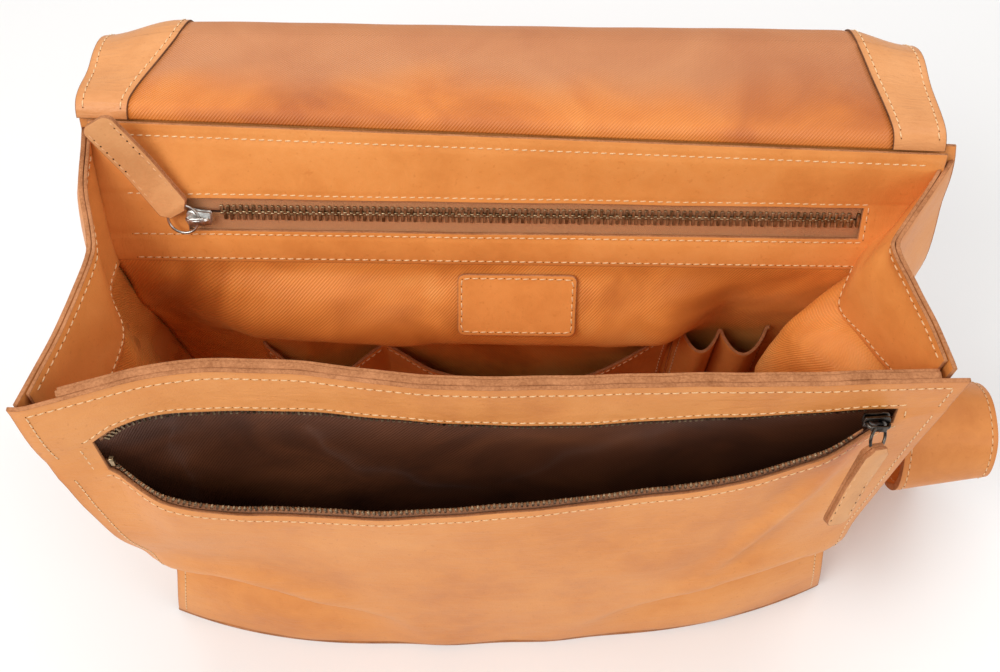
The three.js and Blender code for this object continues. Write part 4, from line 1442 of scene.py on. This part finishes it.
def flap_seams(name, lines):
    """Stitch rows on the flap: each line is a list of (x, s, off), cut up where the strips join."""
    for (label, first, second), start, end in zip(FLAP_PARTS, FLAP_SPLITS, FLAP_SPLITS[1:]):
        bm = bmesh.new()
        for line in lines:
            spots = [(x, s, off) for x, s, off in line if start <= s <= end]
            if len(spots) < 2:
                continue
            placed = []
            for x, s, off in spots:
                here, normal = surface_frame(flap_point, x, s)
                placed.append((here + normal * off, normal * (1 if off > 0 else -1)))
            add_stitches(bm, placed)
        if not bm.faces:
            bm.free()
            continue
        made = settle(f"{name}_{label}", mesh_from(bm, name, True), [THREAD, HOLE_SHADE], None, "facing_leather")
        fix_to_flap(made, label, first, second)


def border_wide(side, s):
    """The leather border widens from the hinge to the bend."""
    return FLAP_BORDER + (19 if side < 0 else 10) * smooth(0, 62, s)


def flap_layer(side, off):
    """A layer's surface in (c, s): c runs 0 to 1 over one border, or -1 to 1 over the lining between them."""
    def at(c, s):
        if side:
            inner = FLAP_HALF - border_wide(side, s)
            return flap_point(side * lerp(inner, FLAP_HALF, c if side > 0 else 1 - c), s, off)
        left, right = FLAP_HALF + 1 - border_wide(-1, s), FLAP_HALF + 1 - border_wide(1, s)
        return flap_point(lerp(-left, right, (c + 1) / 2), s, off)
    return at


def flap():
    lengths = ("top", "middle", "front")
    xs = [-FLAP_HALF, -FLAP_HALF + 1, *steps(-FLAP_HALF + 3, FLAP_HALF - 3, 84), FLAP_HALF - 1, FLAP_HALF]
    flap_strips("flap_leather", xs, flap_point, LEATHER_THICK, [LEATHER, EDGE], "leather",
                [f"flap_{part}_leather" for part in lengths])

    # The share of the lining's painted shade: none at the hinge, full past it, none again near the flap's
    # end.
    def fade(c, s):
        shade_share = smooth(9, 34, s + 7 * ripple(c * 150, s, 6.1))
        return shade_share * smooth(FLAP_END, FLAP_END - 40, s)
    flap_strips("flap_lining", steps(-1, 1, 84), flap_layer(0, 1.35), 0.6, [FLAP_LINING, FLAP_LINING],
                "flap_lining", [f"flap_{part}_lining" for part in lengths], s_to=FLAP_END - FLAP_BORDER + 1,
                marks={"fade": fade})
    for label, side in SIDES:
        flap_strips(f"flap_border_{label}", [0, 0.03, *steps(0.08, 0.92, 9), 0.97, 1],
                    flap_layer(side, BORDER_OFF), BORDER_THICK, [BORDER, BURNISHED], "facing_leather",
                    [f"flap_{part}_border_{label}" for part in lengths],
                    s_to=FLAP_END - FLAP_BORDER - 0.4)
    flap_strips("flap_border_end", xs, lambda x, s: flap_point(x, s, BORDER_OFF), BORDER_THICK,
                [BORDER, BURNISHED], "facing_leather", ["flap_front_border_end"],
                s_from=FLAP_END - FLAP_BORDER)
    lines = []
    for start, end in zip(FLAP_SPLITS, FLAP_SPLITS[1:]):
        down = steps(start + (4 if start == 0 else 0), min(end, FLAP_END - 3.5), 40)
        for x in (-FLAP_HALF + 3.5, FLAP_HALF - 3.5):
            lines += [[(x, s, off) for s in down] for off in FLAP_FACES]
        down = steps(down[0], min(end, FLAP_END - FLAP_BORDER + 3), 40)
        for side in (-1, 1):
            lines.append([(side * (FLAP_HALF - border_wide(side, s) + 3), s, FLAP_FACES[0]) for s in down])
    across = steps(-FLAP_HALF + 4, FLAP_HALF - 4, 60)
    lines += [[(x, FLAP_END - 3.5, off) for x in across] for off in FLAP_FACES]
    across = steps(border_wide(-1, 99) - FLAP_HALF, FLAP_HALF - border_wide(1, 99), 60)
    lines.append([(x, FLAP_END - FLAP_BORDER + 3, FLAP_FACES[0]) for x in across])
    flap_seams("flap_stitches", lines)


# ---------------------------------------------------------------- seams of the bag
def front_seams():
    def at_z(x, z):
        u = x / FRONT_HALF
        lip, low, top = lip_z(x), lower_lip(x), front_top_z(x)
        if z > lip:
            return u, 1 + (z - lip) / (top - lip)
        return u, -(low - z) / (low - BASE_THICK - 0.7)

    def stitched(places):
        return on_surface(front_point, [at_z(x, z) for x, z in places], ON_LEATHER, 0.002, 0.004)
    wide = steps(-183, 183, 160)
    mouth = steps(LIP_LEFT - 3, LIP_RIGHT + 3, 140)
    lines = [stitched([(x, front_top_z(x) - 5.5) for x in wide]),
             stitched([(x, lip_z(x) + 4) for x in mouth]),
             stitched([(x, lower_lip(x) - 5) for x in mouth])]
    for side in (-1, 1):
        x = side * 183
        lines.append(stitched([(x, z) for z in steps(BASE_THICK + 5, lower_lip(x) - 0.5, 60)]))
        lines.append(stitched([(x, z) for z in steps(lip_z(x) + 0.5, front_top_z(x) - 6, 20)]))

    def between_lips(u, t):
        return Vector(front_point(u, 0)).lerp(Vector(front_point(u, 1)), t)
    for x in (LIP_LEFT - 5, LIP_RIGHT + 4):
        places = [(x / FRONT_HALF, t) for t in steps(0, 1, 6)]
        lines.append(on_surface(between_lips, places, ON_LEATHER, 0.002, 0.02))
    seams("front_stitches", lines, "bag", "leather")


def facing_seams():
    def behind(places):
        return on_surface(back_facing_at, places, ON_FACING)
    lines = [behind([(x, z) for x in steps(-174, end, 120)])
             for z, end in ((HINGE_SEAM, 185), (256.7, 165.5), (238.0, 165.5), (225.5, 174))]
    lines.append(behind([(165.5, z) for z in steps(239, 256, 8)]))
    for side in (-1, 1):

        def at(s, t, side=side):
            return gusset_facing_at(side, s, t)
        top = [(s, 1 - 4 / facing_cut(side, s)) for s in steps(0.07, 0.93, 60)]
        foot = [(s, 3.5 / facing_cut(side, s)) for s in steps(0.07, 0.93, 60)]
        lines += [on_surface(at, places, ON_FACING * side, 0.01, 0.02) for places in (top, foot)]
    seams("facing_stitches", lines, "bag")


def organiser_seams():
    def over(at, places, dv):
        return on_surface(at, places, ON_FACING, 0.4, dv)
    rows = [(x, 1 - 3.5 / (organiser_top(x) - ORGANISER_BOTTOM)) for x in steps(-127, 85, 110)]
    lines = [over(organiser_at, rows, 0.01)]
    for x in (-127, -65, 85):
        lines.append(over(organiser_at, [(x, t) for t in steps(0.02, 0.95, 40)], 0.01))
    for x in (93, 112, 135):
        lines.append(over(pen_loops_at, [(x, t) for t in steps(0.03, 0.97, 30)], 0.01))
    low_x, high_x, low_z, high_z = LABEL_LEFT + 2, LABEL_RIGHT - 2, 2, LABEL_TALL - 2
    corners = [(low_x, low_z), (high_x, low_z), (high_x, high_z), (low_x, high_z), (low_x, low_z)]
    for (xa, za), (xb, zb) in zip(corners, corners[1:]):
        lines.append(over(label_at, [(lerp(xa, xb, t), lerp(za, zb, t)) for t in steps(0, 1, 12)], 0.4))
    seams("organiser_stitches", lines, "bag")


for make in (back_zip, front_zip, zip_hardware, shoulder_strap, flap, front_seams, facing_seams,
             organiser_seams):
    make()


# ---------------------------------------------------------------- studio
def area_light(name, at, aim, size, watts, colour=(1, 1, 1)):
    data = bpy.data.lights.new(name, "AREA")
    data.shape = "RECTANGLE"
    data.size, data.size_y = size
    data.energy = watts
    data.color = colour
    light = bpy.data.objects.new(name, data)
    scene.collection.objects.link(light)
    light.location = at
    light.rotation_euler = (Vector(aim) - Vector(at)).to_track_quat("-Z", "Y").to_euler()


def studio():
    floor_mesh = bpy.data.meshes.new("floor")
    reach = 30.0
    floor_mesh.from_pydata([(-reach, -reach, 0), (reach, -reach, 0), (reach, reach, 0), (-reach, reach, 0)],
                           [], [(0, 1, 2, 3)])
    n = Nodes("floor")
    shade = n.mix(n.noise(n.place(), 3), (0.86, 0.86, 0.86, 1), (0.9, 0.9, 0.9, 1))
    floor_mesh.materials.append(n.finish(shade, 0.9, None, Specular_IOR_Level=0.1))
    floor = bpy.data.objects.new("floor", floor_mesh)
    scene.collection.objects.link(floor)

    area_light("key", (-0.75, -0.75, 1.35), (0, 0, 0.18), (0.9, 0.7), 15.5, (1, 0.985, 0.96))
    area_light("top", (0.15, 0.45, 1.6), (0, 0, 0.2), (1.3, 0.8), 10, (1, 0.99, 0.975))
    area_light("fill", (1.2, -0.7, 0.8), (0, 0, 0.15), (0.9, 0.9), 5, (1, 0.99, 0.98))
    world = bpy.data.worlds.new("studio")
    world.use_nodes = True
    sky = world.node_tree.nodes["Background"].inputs
    sky["Color"].default_value = (1, 1, 1, 1)
    sky["Strength"].default_value = 0.52
    scene.world = world
    scene.view_settings.view_transform = "Standard"


studio()
